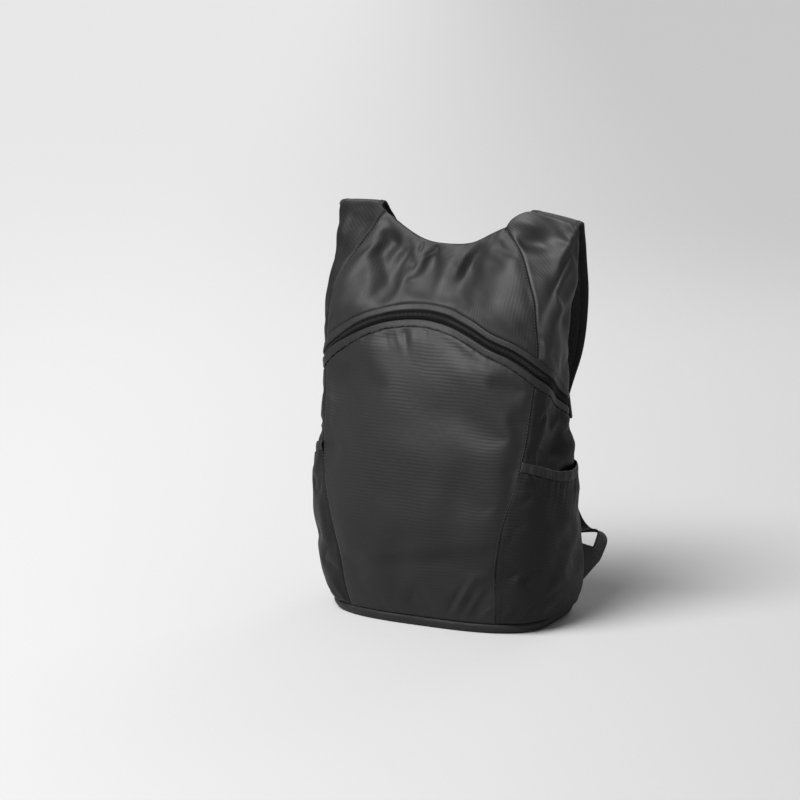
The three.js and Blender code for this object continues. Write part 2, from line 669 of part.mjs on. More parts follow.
// The cloth wing sewn in the back seam, which holds the webbing's lower end.
function wing(tag, side) {
  const off = POCKET_CLEAR + WALL + GAP + 1;
  const root = (z) => body(rightBack(z / STANDARD_HEIGHT), z / STANDARD_HEIGHT, off);
  const foot = WEBBING[0];
  const across = new THREE.Vector3(foot.wx, foot.wy, foot.wz).normalize();
  const along = new THREE.Vector3(0, 0.62, 0.784);
  const edge = new THREE.Vector3(foot.x, foot.y, foot.z).addScaledVector(along, -GAP);
  const high = edge.clone().addScaledVector(across, -WEBBING_WIDTH / 2);
  const low = edge.clone().addScaledVector(across, WEBBING_WIDTH / 2);
  const loop = [root(25), low, high, root(67)].map((p) => mirror(side, p));
  const flat = new THREE.Vector3()
    .crossVectors(loop[1].clone().sub(loop[0]), loop[2].clone().sub(loop[0]))
    .normalize();
  return plate("wing_tab_" + tag, NYLON_DARK, loop, flat, 2);
}

// The body is drawn about its own middle; this moves the whole part's middle to the origin.
const group = new THREE.Group();
group.position.y = -ORIGIN_DEPTH;
group.name = "packable_backpack";
group.add(basePanel(), ...frontPanels(), backPanel(), ...zip());
for (const [tag, side] of [
  ["left", -1],
  ["right", 1],
]) {
  group.add(...sidePanels(tag, side), ...pocket(tag, side));
  group.add(strap(tag, side), webbing(tag, side), lock(tag, side), wing(tag, side));
}

export default group;
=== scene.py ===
"""A packable nylon backpack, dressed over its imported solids.

Each cloth piece is read from its solid as a grid of points, made smooth and fine, folded, sewn at
its edges and given a finish. Lengths are millimetres until a mesh is made, +Z is up and the front
faces -Y.
"""

from __future__ import annotations

import json
import logging
import math
from collections.abc import Iterable
from dataclasses import dataclass, field
from enum import Enum

import bpy
import numpy as np
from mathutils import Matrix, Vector

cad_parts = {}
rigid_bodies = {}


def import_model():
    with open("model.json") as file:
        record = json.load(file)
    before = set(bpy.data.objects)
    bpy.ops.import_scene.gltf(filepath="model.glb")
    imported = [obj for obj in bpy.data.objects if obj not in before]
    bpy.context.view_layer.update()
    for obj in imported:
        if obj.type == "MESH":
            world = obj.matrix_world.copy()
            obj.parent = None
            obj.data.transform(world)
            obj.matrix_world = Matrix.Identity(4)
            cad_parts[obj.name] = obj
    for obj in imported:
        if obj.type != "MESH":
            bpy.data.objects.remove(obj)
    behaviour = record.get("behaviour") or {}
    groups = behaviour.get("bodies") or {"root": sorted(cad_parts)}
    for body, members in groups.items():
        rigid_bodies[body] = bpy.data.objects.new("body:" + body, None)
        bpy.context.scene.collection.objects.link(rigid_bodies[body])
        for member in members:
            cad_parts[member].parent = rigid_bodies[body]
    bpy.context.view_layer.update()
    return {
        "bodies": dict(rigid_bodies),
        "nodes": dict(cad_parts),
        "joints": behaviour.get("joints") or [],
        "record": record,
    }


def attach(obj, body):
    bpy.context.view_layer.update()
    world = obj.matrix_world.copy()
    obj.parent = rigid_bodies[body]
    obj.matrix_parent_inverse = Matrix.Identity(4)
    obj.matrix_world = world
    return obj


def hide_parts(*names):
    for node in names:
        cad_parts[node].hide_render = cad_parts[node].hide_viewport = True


LOG = logging.getLogger("backpack")
MM = 0.001
FINE_CELL = 1.7
COARSE_CELL = 2.4
CLOTH_THICK = 0.9
BORDER_STEPS = (0.0, 0.35, 0.8, 1.4, 2.2, 3.2, 4.4)
BAR_RINGS = ((0, 0.55), (0.02, 0.84), (0.06, 1), (0.94, 1), (0.98, 0.84), (1, 0.55))
SIDES = ("left", "right")
FRAME: dict = {}


# Shader maths


@dataclass(frozen=True)
class Value:
    """A number that varies over a surface; arithmetic on it adds Math nodes."""

    graph: "Graph"
    socket: bpy.types.NodeSocket

    def _with(self, operation: str, first: object, second: object) -> "Value":
        """Joins two operands in one Math node."""
        node = self.graph.add("ShaderNodeMath", {"operation": operation}, {0: first, 1: second})
        return Value(self.graph, node.outputs[0])

    def __add__(self, other: object) -> "Value":
        """This value plus another."""
        return self._with("ADD", self, other)

    def __sub__(self, other: object) -> "Value":
        """This value less another."""
        return self._with("SUBTRACT", self, other)

    def __rsub__(self, other: object) -> "Value":
        """Another value less this one."""
        return self._with("SUBTRACT", other, self)

    def __mul__(self, other: object) -> "Value":
        """This value times another."""
        return self._with("MULTIPLY", self, other)

    def sine(self) -> "Value":
        """The sine of this value."""
        return self._with("SINE", self, 0.0)

    def step(self, low: float, high: float) -> "Value":
        """Rises smoothly from 0 to 1 between two limits."""
        settings = {"interpolation_type": "SMOOTHSTEP"}
        node = self.graph.add("ShaderNodeMapRange", settings, {0: self, 1: low, 2: high})
        return Value(self.graph, node.outputs[0])


class Graph:
    """The node tree of one finish."""

    def __init__(self, name: str) -> None:
        """Makes a material with an empty tree."""
        self.material = bpy.data.materials.new(name)
        self.material.use_nodes = True
        self.tree = self.material.node_tree
        self.tree.nodes.clear()

    def add(
        self, kind: str, settings: dict | None = None, sockets: dict | None = None
    ) -> bpy.types.Node:
        """Adds a node.

        Args:
            kind: The node's type.
            settings: The node's own settings, set first; stops are a ramp's (place, grey) pairs.
            sockets: Values, colours or links by the input's name or number.

        Returns:
            The node.
        """
        node = self.tree.nodes.new(kind)
        for name, setting in (settings or {}).items():
            if name == "stops":
                ramp = node.color_ramp
                for number, (place, grey) in enumerate(setting):
                    stop = ramp.elements[number] if number < 2 else ramp.elements.new(place)
                    stop.position, stop.color = place, (grey, grey, grey, 1)
            else:
                setattr(node, name, setting)
        for name, given in (sockets or {}).items():
            source = given.socket if isinstance(given, Value) else given
            if isinstance(source, bpy.types.NodeSocket):
                self.tree.links.new(source, node.inputs[name])
            else:
                node.inputs[name].default_value = source
        return node

    def cloth_place(self) -> tuple[Value, Value]:
        """The place on the flat cloth, in millimetres across and along."""
        flat = self.add("ShaderNodeUVMap", {"uv_map": Grid.FLAT_MAP})
        split = self.add("ShaderNodeSeparateXYZ", None, {0: flat.outputs[0]})
        return Value(self, split.outputs[0]), Value(self, split.outputs[1])

    def noise(self, size_mm: float, detail: float = 2.0) -> Value:
        """Soft noise in the object's own space, about 0 to 1."""
        place = self.add("ShaderNodeTexCoord").outputs["Object"]
        sockets = {"Vector": place, "Scale": 1 / (size_mm * MM), "Detail": detail}
        return Value(self, self.add("ShaderNodeTexNoise", None, sockets).outputs[0])

    def shades(self, share: Value, dark: tuple, light: tuple) -> bpy.types.NodeSocket:
        """A colour between two by a share."""
        settings = {"data_type": "RGBA", "clamp_factor": True}
        sockets = {0: share, 6: (*dark, 1), 7: (*light, 1)}
        return self.add("ShaderNodeMix", settings, sockets).outputs[2]

    def greys(self, share: Value, shade: float, dark: float, light: float) -> bpy.types.NodeSocket:
        """A grey between two multiples of a shade, by a share."""
        return self.shades(share, (shade * dark,) * 3, (shade * light,) * 3)

    def relief(self, height_mm: Value) -> bpy.types.NodeSocket:
        """The normal of a fine relief whose height is in millimetres."""
        sockets = {"Strength": 1.0, "Distance": MM, "Height": height_mm}
        return self.add("ShaderNodeBump", None, sockets).outputs[0]

    def surface(self, sockets: dict) -> bpy.types.Material:
        """Ends the tree in one Principled shader."""
        shader = self.add("ShaderNodeBsdfPrincipled", None, sockets)
        self.add("ShaderNodeOutputMaterial", None, {0: shader.outputs[0]})
        return self.material


class RibRun(Enum):
    """Which way the cloth's fine ribs run on a panel, as turns of the flat cloth in degrees."""

    LEVEL = 0.0
    UPRIGHT = 90.0
    SLANTED = 42.0


@dataclass(frozen=True)
class NylonFinish:
    """Thin black ripstop nylon with fine ribs and a soft sheen."""

    name: str
    shade: float = 0.0045
    rib_run: RibRun = RibRun.LEVEL
    rib_gap: float = 3.4
    rib_height: float = 0.046
    roughness: float = 0.61
    crumple: float = 0.1
    specular: float = 0.34
    sheen: float = 0.02
    yarn_gaps: tuple = (0.85, 1.1)

    def material(self) -> bpy.types.Material:
        """The finish as a material."""
        graph = Graph(self.name)
        across, along = graph.cloth_place()
        turn = math.radians(self.rib_run.value)
        line = along * math.cos(turn) + across * math.sin(turn)
        other = across * math.cos(turn) - along * math.sin(turn)
        drift = graph.noise(26.0, 1.0) * 2.4
        ribs = ((line + drift) * (2 * math.pi / self.rib_gap)).sine()
        patch = graph.noise(38.0, 1.5).step(0.36, 0.62)
        warp, weft = (2 * math.pi / gap for gap in self.yarn_gaps)
        yarn = (line * warp).sine() * (other * weft).sine()
        lumps = (graph.noise(13.0, 2.0) - 0.5) * self.crumple
        fine = (graph.noise(4.5, 2.0) - 0.5) * (0.3 * self.crumple)
        height = ribs * (patch * 0.75 + 0.25) * self.rib_height + yarn * 0.007 + lumps + fine
        dark = tuple(self.shade * k for k in (0.86, 0.86, 0.9))
        light = tuple(self.shade * k for k in (1.12, 1.12, 1.15))
        tone = graph.noise(55.0, 2.0).step(0.3, 0.7) * 0.7 + ribs * 0.15 + 0.15
        rough = graph.noise(20.0, 2.0) * 0.14 + (self.roughness - 0.07)
        return graph.surface(
            {
                "Base Color": graph.shades(tone, dark, light),
                "Roughness": rough,
                "Normal": graph.relief(height),
                "Sheen Weight": self.sheen,
                "Sheen Roughness": 0.4,
                "Specular IOR Level": self.specular,
            }
        )


@dataclass(frozen=True)
class WebbingFinish:
    """Matt black woven webbing or binding tape."""

    name: str
    shade: float = 0.012
    pitch: float = 1.3
    height: float = 0.09
    specular: float = 0.3

    def material(self) -> bpy.types.Material:
        """The finish as a material."""
        graph = Graph(self.name)
        across, along = graph.cloth_place()
        step = 2 * math.pi / self.pitch
        twill = ((along + across) * step).sine() * ((along - across) * step).sine()
        height = twill * self.height + (graph.noise(2.5, 2.0) - 0.5) * 0.08
        tone = twill * 0.3 + graph.noise(9.0, 2.0) * 0.8
        return graph.surface(
            {
                "Base Color": graph.greys(tone, self.shade, 0.75, 1.35),
                "Roughness": graph.noise(6.0, 2.0) * 0.15 + 0.68,
                "Normal": graph.relief(height),
                "Sheen Weight": 0.04,
                "Specular IOR Level": self.specular,
            }
        )


@dataclass(frozen=True)
class StrapMeshFinish:
    """Matt black spacer cloth with small round cells in offset rows, the cells darkened by painted
    shade.
    """

    name: str
    shade: float = 0.011
    cell: float = 3.0

    def material(self) -> bpy.types.Material:
        """The finish as a material."""
        graph = Graph(self.name)
        across, along = graph.cloth_place()
        step = 2 * math.pi / self.cell
        weave = ((along + across * 0.58) * step).sine() * ((along - across * 0.58) * step).sine()
        hole = weave.step(0.1, 0.75)
        height = hole * -0.5 + (graph.noise(1.6, 1.0) - 0.5) * 0.12
        # Painted shade: the sunken cells are coloured much darker than the cloth between them.
        tone = (1.0 - hole) * 0.75 + graph.noise(14.0, 2.0) * 0.25
        return graph.surface(
            {
                "Base Color": graph.greys(tone, self.shade, 0.35, 1.3),
                "Roughness": hole * 0.08 + 0.78,
                "Normal": graph.relief(height),
                "Sheen Weight": 0.08,
            }
        )


@dataclass(frozen=True)
class YarnFinish:
    """Smooth black thread or a nylon coil."""

    name: str
    shade: float = 0.012
    roughness: float = 0.38
    specular: float = 0.4

    def material(self) -> bpy.types.Material:
        """The finish as a material."""
        graph = Graph(self.name)
        tone = graph.noise(5.0, 2.0)
        height = (graph.noise(0.7, 1.0) - 0.5) * 0.06
        return graph.surface(
            {
                "Base Color": graph.greys(tone, self.shade, 0.7, 1.4),
                "Roughness": graph.noise(3.0, 1.0) * 0.12 + (self.roughness - 0.06),
                "Normal": graph.relief(height),
                "Specular IOR Level": self.specular,
            }
        )


@dataclass(frozen=True)
class PlasticFinish:
    """Moulded black plastic with a fine grained face."""

    name: str
    shade: float = 0.009
    roughness: float = 0.36

    def material(self) -> bpy.types.Material:
        """The finish as a material."""
        graph = Graph(self.name)
        grain = graph.noise(0.9, 3.0)
        scuffs = graph.noise(7.0, 3.0).step(0.52, 0.75)
        return graph.surface(
            {
                "Base Color": graph.greys(scuffs, self.shade, 1.0, 1.8),
                "Roughness": scuffs * 0.16 + self.roughness,
                "Normal": graph.relief((grain - 0.5) * 0.07),
            }
        )


@dataclass(frozen=True)
class FloorFinish:
    """A plain pale matt studio floor with painted shade: softly darker to the right."""

    name: str
    shade: float = 0.39
    painted_light_end: float = -0.6
    painted_shade_end: float = 0.65
    right: tuple = (0.9, 0.44, 0.0)

    def material(self) -> bpy.types.Material:
        """The finish as a material."""
        graph = Graph(self.name)
        place = graph.add("ShaderNodeTexCoord").outputs["Object"]
        across = graph.add(
            "ShaderNodeVectorMath", {"operation": "DOT_PRODUCT"}, {0: place, 1: self.right}
        )
        # Painted shade: the floor's colour darkens along the right direction, standing in for
        # light that falls off to the right.
        tone = Value(graph, across.outputs["Value"]).step(self.painted_shade_end, self.painted_light_end)
        colour = graph.greys(tone, self.shade, 0.8, 1.15)
        return graph.surface({"Base Color": colour, "Roughness": 0.85})


# Cloth as grids of points


def spline_weights(knots: int, places: np.ndarray) -> np.ndarray:
    """Weights that read a natural cubic spline through evenly spaced knots.

    Args:
        knots: How many knots the spline has.
        places: Where it is read, from 0 to knots - 1.

    Returns:
        One row of weights for each place.
    """
    if knots < 3:
        share = np.clip(places, 0, 1)[:, None]
        return np.hstack([1 - share, share])
    bend = np.eye(knots)
    force = np.zeros((knots, knots))
    for k in range(1, knots - 1):
        bend[k, k - 1 : k + 2] = (1, 4, 1)
        force[k, k - 1 : k + 2] = (6, -12, 6)
    curving = np.linalg.solve(bend, force)
    low = np.clip(places.astype(int), 0, knots - 2)
    part = (places - low)[:, None]
    own = np.eye(knots)
    line = (1 - part) * own[low] + part * own[low + 1]
    pull = (2 - part) * curving[low] + (1 + part) * curving[low + 1]
    return line - part * (1 - part) / 6 * pull


def sewn_places(length: float, knots: int, cell: float, border: bool = True) -> np.ndarray:
    """Places across a cloth of one length, closer together by its two edges.

    Args:
        length: The cloth's length.
        knots: How many knots it is read from.
        cell: The spacing away from the edges.
        border: Whether the edges get the closer places.

    Returns:
        The places as knot numbers.
    """
    near = np.array(BORDER_STEPS if border else (0.0,))
    inner = length - 2 * near[-1]
    count = max(int(round(inner / cell)), 1)
    middle = near[-1] + inner * np.arange(1, count) / count
    at = np.concatenate([near, middle, length - near[::-1]])
    return at / length * (knots - 1)


def wander(at: np.ndarray, gap: float, seed: int) -> np.ndarray:
    """Smooth random numbers along a length, mostly from -1 to 1.

    Args:
        at: The lengths.
        gap: How far apart the random values stand.
        seed: Picks the run of numbers.

    Returns:
        A number for each length.
    """
    rng = np.random.default_rng(seed)
    values = rng.uniform(-1, 1, int(at.max() / gap) + 4)
    low = np.floor(at / gap).astype(int)
    part = at / gap - low
    part = part * part * (3 - 2 * part)
    return values[low] * (1 - part) + values[low + 1] * part


def soft_step(share: np.ndarray) -> np.ndarray:
    """0 to 1 with soft ends."""
    held = np.clip(share, 0, 1)
    return held * held * (3 - 2 * held)


def unit(vectors: np.ndarray) -> np.ndarray:
    """Vectors along the last axis, each divided by its length."""
    return vectors / np.linalg.norm(vectors, axis=-1, keepdims=True)


def quads(number: np.ndarray) -> np.ndarray:
    """The four-cornered faces between points that are numbered in columns and rows."""
    around = [number[:-1, :-1], number[1:, :-1], number[1:, 1:], number[:-1, 1:]]
    return np.stack(around, 2).reshape(-1, 4)


def node_points(node: str) -> np.ndarray:
    """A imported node's points, in millimetres."""
    return np.array([v.co for v in FRAME["nodes"][node].data.vertices]) / MM


@dataclass
class Grid:
    """A sheet of cloth as a grid of points, columns across and rows up, seen from outside."""

    points: np.ndarray

    FLAT_MAP = "Cloth"

    def run(self, axis: int) -> np.ndarray:
        """Length along the cloth from its first column (axis 0) or row (axis 1)."""
        steps = np.linalg.norm(np.diff(self.points, axis=axis), axis=2)
        first = np.zeros_like(np.take(steps, [0], axis=axis))
        return np.concatenate([first, np.cumsum(steps, axis=axis)], axis=axis)

    def flat(self) -> np.ndarray:
        """Each point's place on the flat cloth, from the middle column and the first row."""
        across, along = self.run(0), self.run(1)
        middle = across[across.shape[0] // 2]
        return np.stack([across - middle, along], 2)

    def edge_gaps(self) -> tuple[np.ndarray, ...]:
        """Distances along the cloth from the first and last column and the first and last row."""
        across, along = self.run(0), self.run(1)
        return across, across[-1:] - across, along, along[:, -1:] - along

    def normals(self) -> np.ndarray:
        """Unit normals, facing out."""
        along = np.gradient(self.points, axis=1)
        across = np.gradient(self.points, axis=0)
        out = np.cross(across, along)
        return out / np.maximum(np.linalg.norm(out, axis=2, keepdims=True), 1e-9)

    def weights(self, cell: float, border: bool = True) -> tuple[np.ndarray, np.ndarray]:
        """Weights that read finer points from this grid."""
        columns, rows = self.points.shape[:2]
        width = self.run(0)[-1].mean()
        height = self.run(1)[:, -1].mean()
        across = spline_weights(columns, sewn_places(width, columns, cell, border))
        return across, spline_weights(rows, sewn_places(height, rows, cell, border))

    def read(self, across: np.ndarray, up: np.ndarray) -> "Grid":
        """The grid at finer points, by the weights of its columns and rows."""
        return Grid(np.einsum("ac,crx,br->abx", across, self.points, up))

    def fine(self, cell: float, border: bool = True) -> "Grid":
        """A finer grid through the same points, with a cell and border as for weights."""
        return self.read(*self.weights(cell, border))

    def lengthwise(self, cell: float, rows: int) -> "Grid":
        """A band with finer columns and a number of even rows."""
        columns = self.points.shape[0]
        length = self.run(0)[-1].mean()
        across = spline_weights(columns, sewn_places(length, columns, cell, False))
        return self.read(across, spline_weights(2, np.linspace(0, 1, rows)))

    def pushed(self, amount: np.ndarray, out: np.ndarray | None = None) -> "Grid":
        """The grid moved out by an amount at each point."""
        return Grid(self.points + (self.normals() if out is None else out) * amount[:, :, None])

    def thick(self, thickness: float) -> tuple[np.ndarray, np.ndarray, np.ndarray]:
        """A closed cloth of one thickness under this face.

        Args:
            thickness: The cloth's thickness.

        Returns:
            The points, the four-cornered faces and each point's place on the flat cloth.
        """
        columns, rows = self.points.shape[:2]
        under = self.points - self.normals() * thickness
        points = np.concatenate([self.points.reshape(-1, 3), under.reshape(-1, 3)])
        flat = self.flat().reshape(-1, 2)
        number = np.arange(columns * rows).reshape(columns, rows)
        upper = quads(number)
        lower = upper[:, ::-1] + columns * rows
        sides = [number[:, 0], number[-1, 1:], number[-2::-1, -1], number[0, -2:0:-1]]
        loop = np.concatenate(sides)
        after = np.roll(loop, -1)
        rim = np.stack([after, loop, loop + columns * rows, after + columns * rows], 1)
        return points, np.concatenate([upper, lower, rim]), np.concatenate([flat, flat])


class Solid:
    """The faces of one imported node, for reading the sheets that it was made from."""

    BAG_MIDDLE = -10.75

    def __init__(self, node: str, short: float = 2.2, sharp: float = 180.0) -> None:
        """Reads the node's mesh.

        Args:
            node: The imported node's name.
            short: Faces with an edge shorter than this belong to the cloth's cut edge.
            sharp: Edges that turn by more than this, in degrees, part two faces.
        """
        mesh = FRAME["nodes"][node].data
        mesh.calc_loop_triangles()
        keys, number = np.unique(np.round(node_points(node), 3), axis=0, return_inverse=True)
        self.points = keys
        faces = number.reshape(-1)[np.array([t.vertices for t in mesh.loop_triangles])]
        corner = keys[faces]
        cross = np.cross(corner[:, 1] - corner[:, 0], corner[:, 2] - corner[:, 0])
        size = np.linalg.norm(cross, axis=1)
        least = np.linalg.norm(corner - np.roll(corner, 1, axis=1), axis=2).min(1)
        keep = (size > 1e-6) & (least > short)
        self.around: dict[int, dict[int, int]] = {}
        for face in faces.tolist():
            for k in range(3):
                self.around.setdefault(face[k], {})[face[k - 2]] = face[k - 1]
        self.faces, self.areas = faces[keep], size[keep] / 2
        self.normals = cross[keep] / size[keep, None]
        self.regions = self._regions(math.cos(math.radians(sharp)) - 1e-6)

    def _regions(self, limit: float) -> list[np.ndarray]:
        """Groups of faces that meet at blunt edges.

        Args:
            limit: The least cosine between two faces of one group.

        Returns:
            Face numbers of each group, the widest group first.
        """
        sides: dict[tuple, list[int]] = {}
        for number, face in enumerate(self.faces):
            for k in range(3):
                sides.setdefault(tuple(sorted((face[k], face[k - 2]))), []).append(number)
        near: list[list[int]] = [[] for _ in self.faces]
        for pair in sides.values():
            if len(pair) == 2 and self.normals[pair[0]] @ self.normals[pair[1]] >= limit:
                near[pair[0]].append(pair[1])
                near[pair[1]].append(pair[0])
        found, seen = [], np.zeros(len(self.faces), bool)
        for start in range(len(self.faces)):
            if seen[start]:
                continue
            group, stack = [], [start]
            seen[start] = True
            while stack:
                face = stack.pop()
                group.append(face)
                for other in near[face]:
                    if not seen[other]:
                        seen[other] = True
                        stack.append(other)
            found.append(np.array(group))
        return sorted(found, key=lambda g: -self.areas[g].sum())

    def _facing(self, group: np.ndarray) -> float:
        """How far a group of faces looks away from the bag's upright middle line."""
        centre = self.points[self.faces[group]].mean(1)
        away = centre - np.array([0, self.BAG_MIDDLE, 0])
        away[:, 2] = 0
        return float((self.areas[group] * (self.normals[group] * away).sum(1)).sum())

    def sheet(self, columns: int, rows: int, outside: bool = True) -> Grid:
        """The node's outer or inner sheet as a grid.

        Args:
            columns: How many columns of faces the sheet has.
            rows: How many rows of faces it has.
            outside: Whether to read the sheet that looks away from the bag's middle.

        Returns:
            The grid, columns in the order that makes its normals face out.
        """
        sign = 1 if outside else -1
        group = max(self.regions[:2], key=lambda g: sign * self._facing(g))
        near: dict[int, set] = {}
        rim: dict[tuple, int] = {}
        count: dict[int, int] = {}
        for face in self.faces[group].tolist():
            for k in range(3):
                a, b = face[k], face[k - 2]
                near.setdefault(a, set()).add(b)
                near.setdefault(b, set()).add(a)
                count[a] = count.get(a, 0) + 1
                edge = (min(a, b), max(a, b))
                rim[edge] = rim.get(edge, 0) + 1
        loop = self._loop([e for e, n in rim.items() if n == 1])
        foot, before = self._foot(loop, count, columns)
        ring = {v for p in foot for v in near[p]} - set(foot)
        second = [before]
        while len(second) < len(foot):
            second.append(next(v for v in near[second[-1]] if v in ring and v not in second))
        lines = [foot, second]
        for _ in range(rows - 1):
            lines.append([self._straight(a, b) for a, b in zip(lines[-2], lines[-1])])
        grid = Grid(self.points[np.array(lines)].transpose(1, 0, 2))
        facing = (self.normals[group] * self.areas[group][:, None]).sum(0)
        if (grid.normals().reshape(-1, 3).sum(0) @ facing) < 0:
            grid = Grid(grid.points[::-1])
        return grid

    def _straight(self, last: int, at: int) -> int:
        """The point straight on from one point through the next: three faces round from it."""
        turn = self.around[at]
        return turn[turn[turn[last]]]

    def _foot(self, loop: list[int], count: dict[int, int], columns: int) -> tuple:
        """The lowest side of a sheet with a given number of columns.

        Args:
            loop: The sheet's outline as point numbers.
            count: How many of the sheet's faces meet at each point; 1 or 2 make a corner.
            columns: How many faces the side has.

        Returns:
            The side's points, and the point before them on the outline.
        """
        found = []
        size = len(loop)
        for k in range(size):
            side = [loop[(k + step) % size] for step in range(columns + 1)]
            ends = count[side[0]] <= 2 and count[side[-1]] <= 2
            if ends and all(count[v] == 3 for v in side[1:-1]):
                found.append((self.points[side][:, 2].mean(), side, loop[k - 1]))
        return min(found, key=lambda row: row[0])[1:]

    @staticmethod
    def _loop(edges: list[tuple]) -> list[int]:
        """Chains edges into one closed loop of point numbers, from the lowest number."""
        near: dict[int, list[int]] = {}
        for a, b in edges:
            near.setdefault(a, []).append(b)
            near.setdefault(b, []).append(a)
        loop = [min(near), near[min(near)][0]]
        while True:
            ahead = [v for v in near[loop[-1]] if v != loop[-2]][0]
            if ahead == loop[0]:
                return loop
            loop.append(ahead)


# Making pieces


def make_mesh(
    name: str, points: np.ndarray, faces: np.ndarray, flat: np.ndarray | None
) -> bpy.types.Object:
    """Makes a smooth mesh object from points in millimetres.

    Args:
        name: The piece's name.
        points: Its points.
        faces: Its faces, all with the same number of corners.
        flat: Each point's place on the flat cloth, or None.

    Returns:
        The object, linked to the scene.
    """
    mesh = bpy.data.meshes.new(name)
    mesh.from_pydata((points * MM).tolist(), [], faces.tolist())
    if flat is not None:
        layer = mesh.uv_layers.new(name=Grid.FLAT_MAP)
        layer.data.foreach_set("uv", flat[faces.reshape(-1)].astype(np.float32).ravel())
    mesh.shade_smooth()
    made = bpy.data.objects.new(name, mesh)
    bpy.context.scene.collection.objects.link(made)
    return made


def dress(piece: bpy.types.Object, finish: bpy.types.Material, slot: str, *nodes: str) -> None:
    """Gives a piece its finish and place on the frame, and hides the nodes that it replaces."""
    piece.data.materials.append(finish)
    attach(piece, "root")
    if nodes:
        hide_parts(*nodes)


def spindles(
    starts: np.ndarray,
    ends: np.ndarray,
    out: np.ndarray,
    wide: float,
    tall: float,
    rings: tuple = ((0.0, 0.35), (0.16, 0.9), (0.5, 1.0), (0.84, 0.9), (1.0, 0.35)),
    sides: int = 6,
    boxy: float = 1.0,
) -> tuple[np.ndarray, np.ndarray]:
    """Rounded bars in one mesh, such as stitches, zip teeth or the bars of a buckle.

    Args:
        starts: Where each bar starts.
        ends: Where it ends.
        out: The direction that it stands off along.
        wide: Its width.
        tall: Its height.
        rings: (share of the length, share of the section) of each ring.
        sides: The corners of its section, an even number.
        boxy: 1 for a round section, smaller for a boxy one.

    Returns:
        The points and the four-cornered faces.
    """
    along = ends - starts
    side = np.cross(out, along)
    side /= np.maximum(np.linalg.norm(side, axis=1, keepdims=True), 1e-9)
    points = []
    for place, size in rings:
        for k in range(sides):
            angle = 2 * math.pi * (k + 0.5) / sides
            width, height = (
                math.copysign(abs(v) ** boxy, v) * size for v in (math.cos(angle), math.sin(angle))
            )
            points.append(
                starts + along * place + side * (wide / 2 * width) + out * (tall / 2 * height)
            )
    faces = []
    for ring in range(len(rings) - 1):
        for k in range(sides):
            a, b = ring * sides + k, ring * sides + (k + 1) % sides
            faces.append([a, b, b + sides, a + sides])
    last = (len(rings) - 1) * sides
    for k in range(sides // 2 - 1):
        cap = [k, k + 1, sides - 2 - k, sides - 1 - k]
        faces += [cap[::-1], [last + v for v in cap]]
    offset = np.arange(len(starts))[:, None, None] * (len(rings) * sides)
    return np.stack(points, 1).reshape(-1, 3), (np.array(faces)[None] + offset).reshape(-1, 4)


def joined(meshes: Iterable[tuple]) -> tuple[np.ndarray, np.ndarray]:
    """Several meshes, each given as points and faces, as one."""
    points, faces, count = [], [], 0
    for mesh_points, mesh_faces in meshes:
        points.append(mesh_points)
        faces.append(mesh_faces + count)
        count += len(mesh_points)
    return np.concatenate(points), np.concatenate(faces)


def section(upper: list) -> list:
    """A band's whole section from its upper half, there and back."""
    return upper[:-1] + [(across, -height) for across, height in upper[::-1]][:-1]


def evenly(line: np.ndarray, pitch: float, *others: np.ndarray) -> tuple[np.ndarray, ...]:
    """Points at an even pitch along a line, with other numbers read at the same places.

    Args:
        line: The line's points.
        pitch: The spacing.
        *others: Arrays with a row for each of the line's points.

    Returns:
        The new points, and each other array at them.
    """
    run = np.concatenate([[0], np.cumsum(np.linalg.norm(np.diff(line, axis=0), axis=1))])
    count = max(int(run[-1] / pitch), 2)
    at = (np.arange(count) + 0.5) / count * run[-1]
    read = [
        np.stack([np.interp(at, run, values[:, k]) for k in range(values.shape[1])], 1)
        for values in (line, *others)
    ]
    return tuple(read)


@dataclass
class Stitching:
    """Runs of thread stitches gathered into one mesh; their middle lies a little sunk."""

    pitch: float = 3.2
    length: float = 2.3
    wide: float = 0.55
    tall: float = 0.5
    sink: float = 0.05
    meshes: list = field(default_factory=list)

    def sew(self, line: np.ndarray, out: np.ndarray) -> None:
        """Adds a run of stitches."""
        at, away = evenly(line, self.pitch, out)
        away, ahead = unit(away), unit(np.gradient(at, axis=0))
        middle = at - away * self.sink
        half = ahead * (self.length / 2)
        self.meshes.append(spindles(middle - half, middle + half, away, self.wide, self.tall))

    def made(self, name: str) -> bpy.types.Object:
        """All the runs as one object."""
        return make_mesh(name, *joined(self.meshes), None)


@dataclass(frozen=True)
class View:
    """A direction that the bag is seen from; folds are placed in it."""

    azimuth: float
    elevation: float
    middle: tuple = (0.0, -10.75, 200.0)

    def back(self) -> np.ndarray:
        """The direction from the bag's middle to the eye."""
        turn, rise = math.radians(self.azimuth), math.radians(self.elevation)
        level = math.cos(rise)
        return np.array([math.sin(turn) * level, -math.cos(turn) * level, math.sin(rise)])

    def place(self, points: np.ndarray) -> tuple[np.ndarray, np.ndarray]:
        """Each point's place across and up in the view, from the bag's middle."""
        turn = math.radians(self.azimuth)
        right = np.array([math.cos(turn), math.sin(turn), 0.0])
        off = points - np.array(self.middle)
        return off @ right, off @ np.cross(self.back(), right)


QUARTER_VIEW = View(26.0, 12.0)
BACK_VIEW = View(180.0, 0.0)


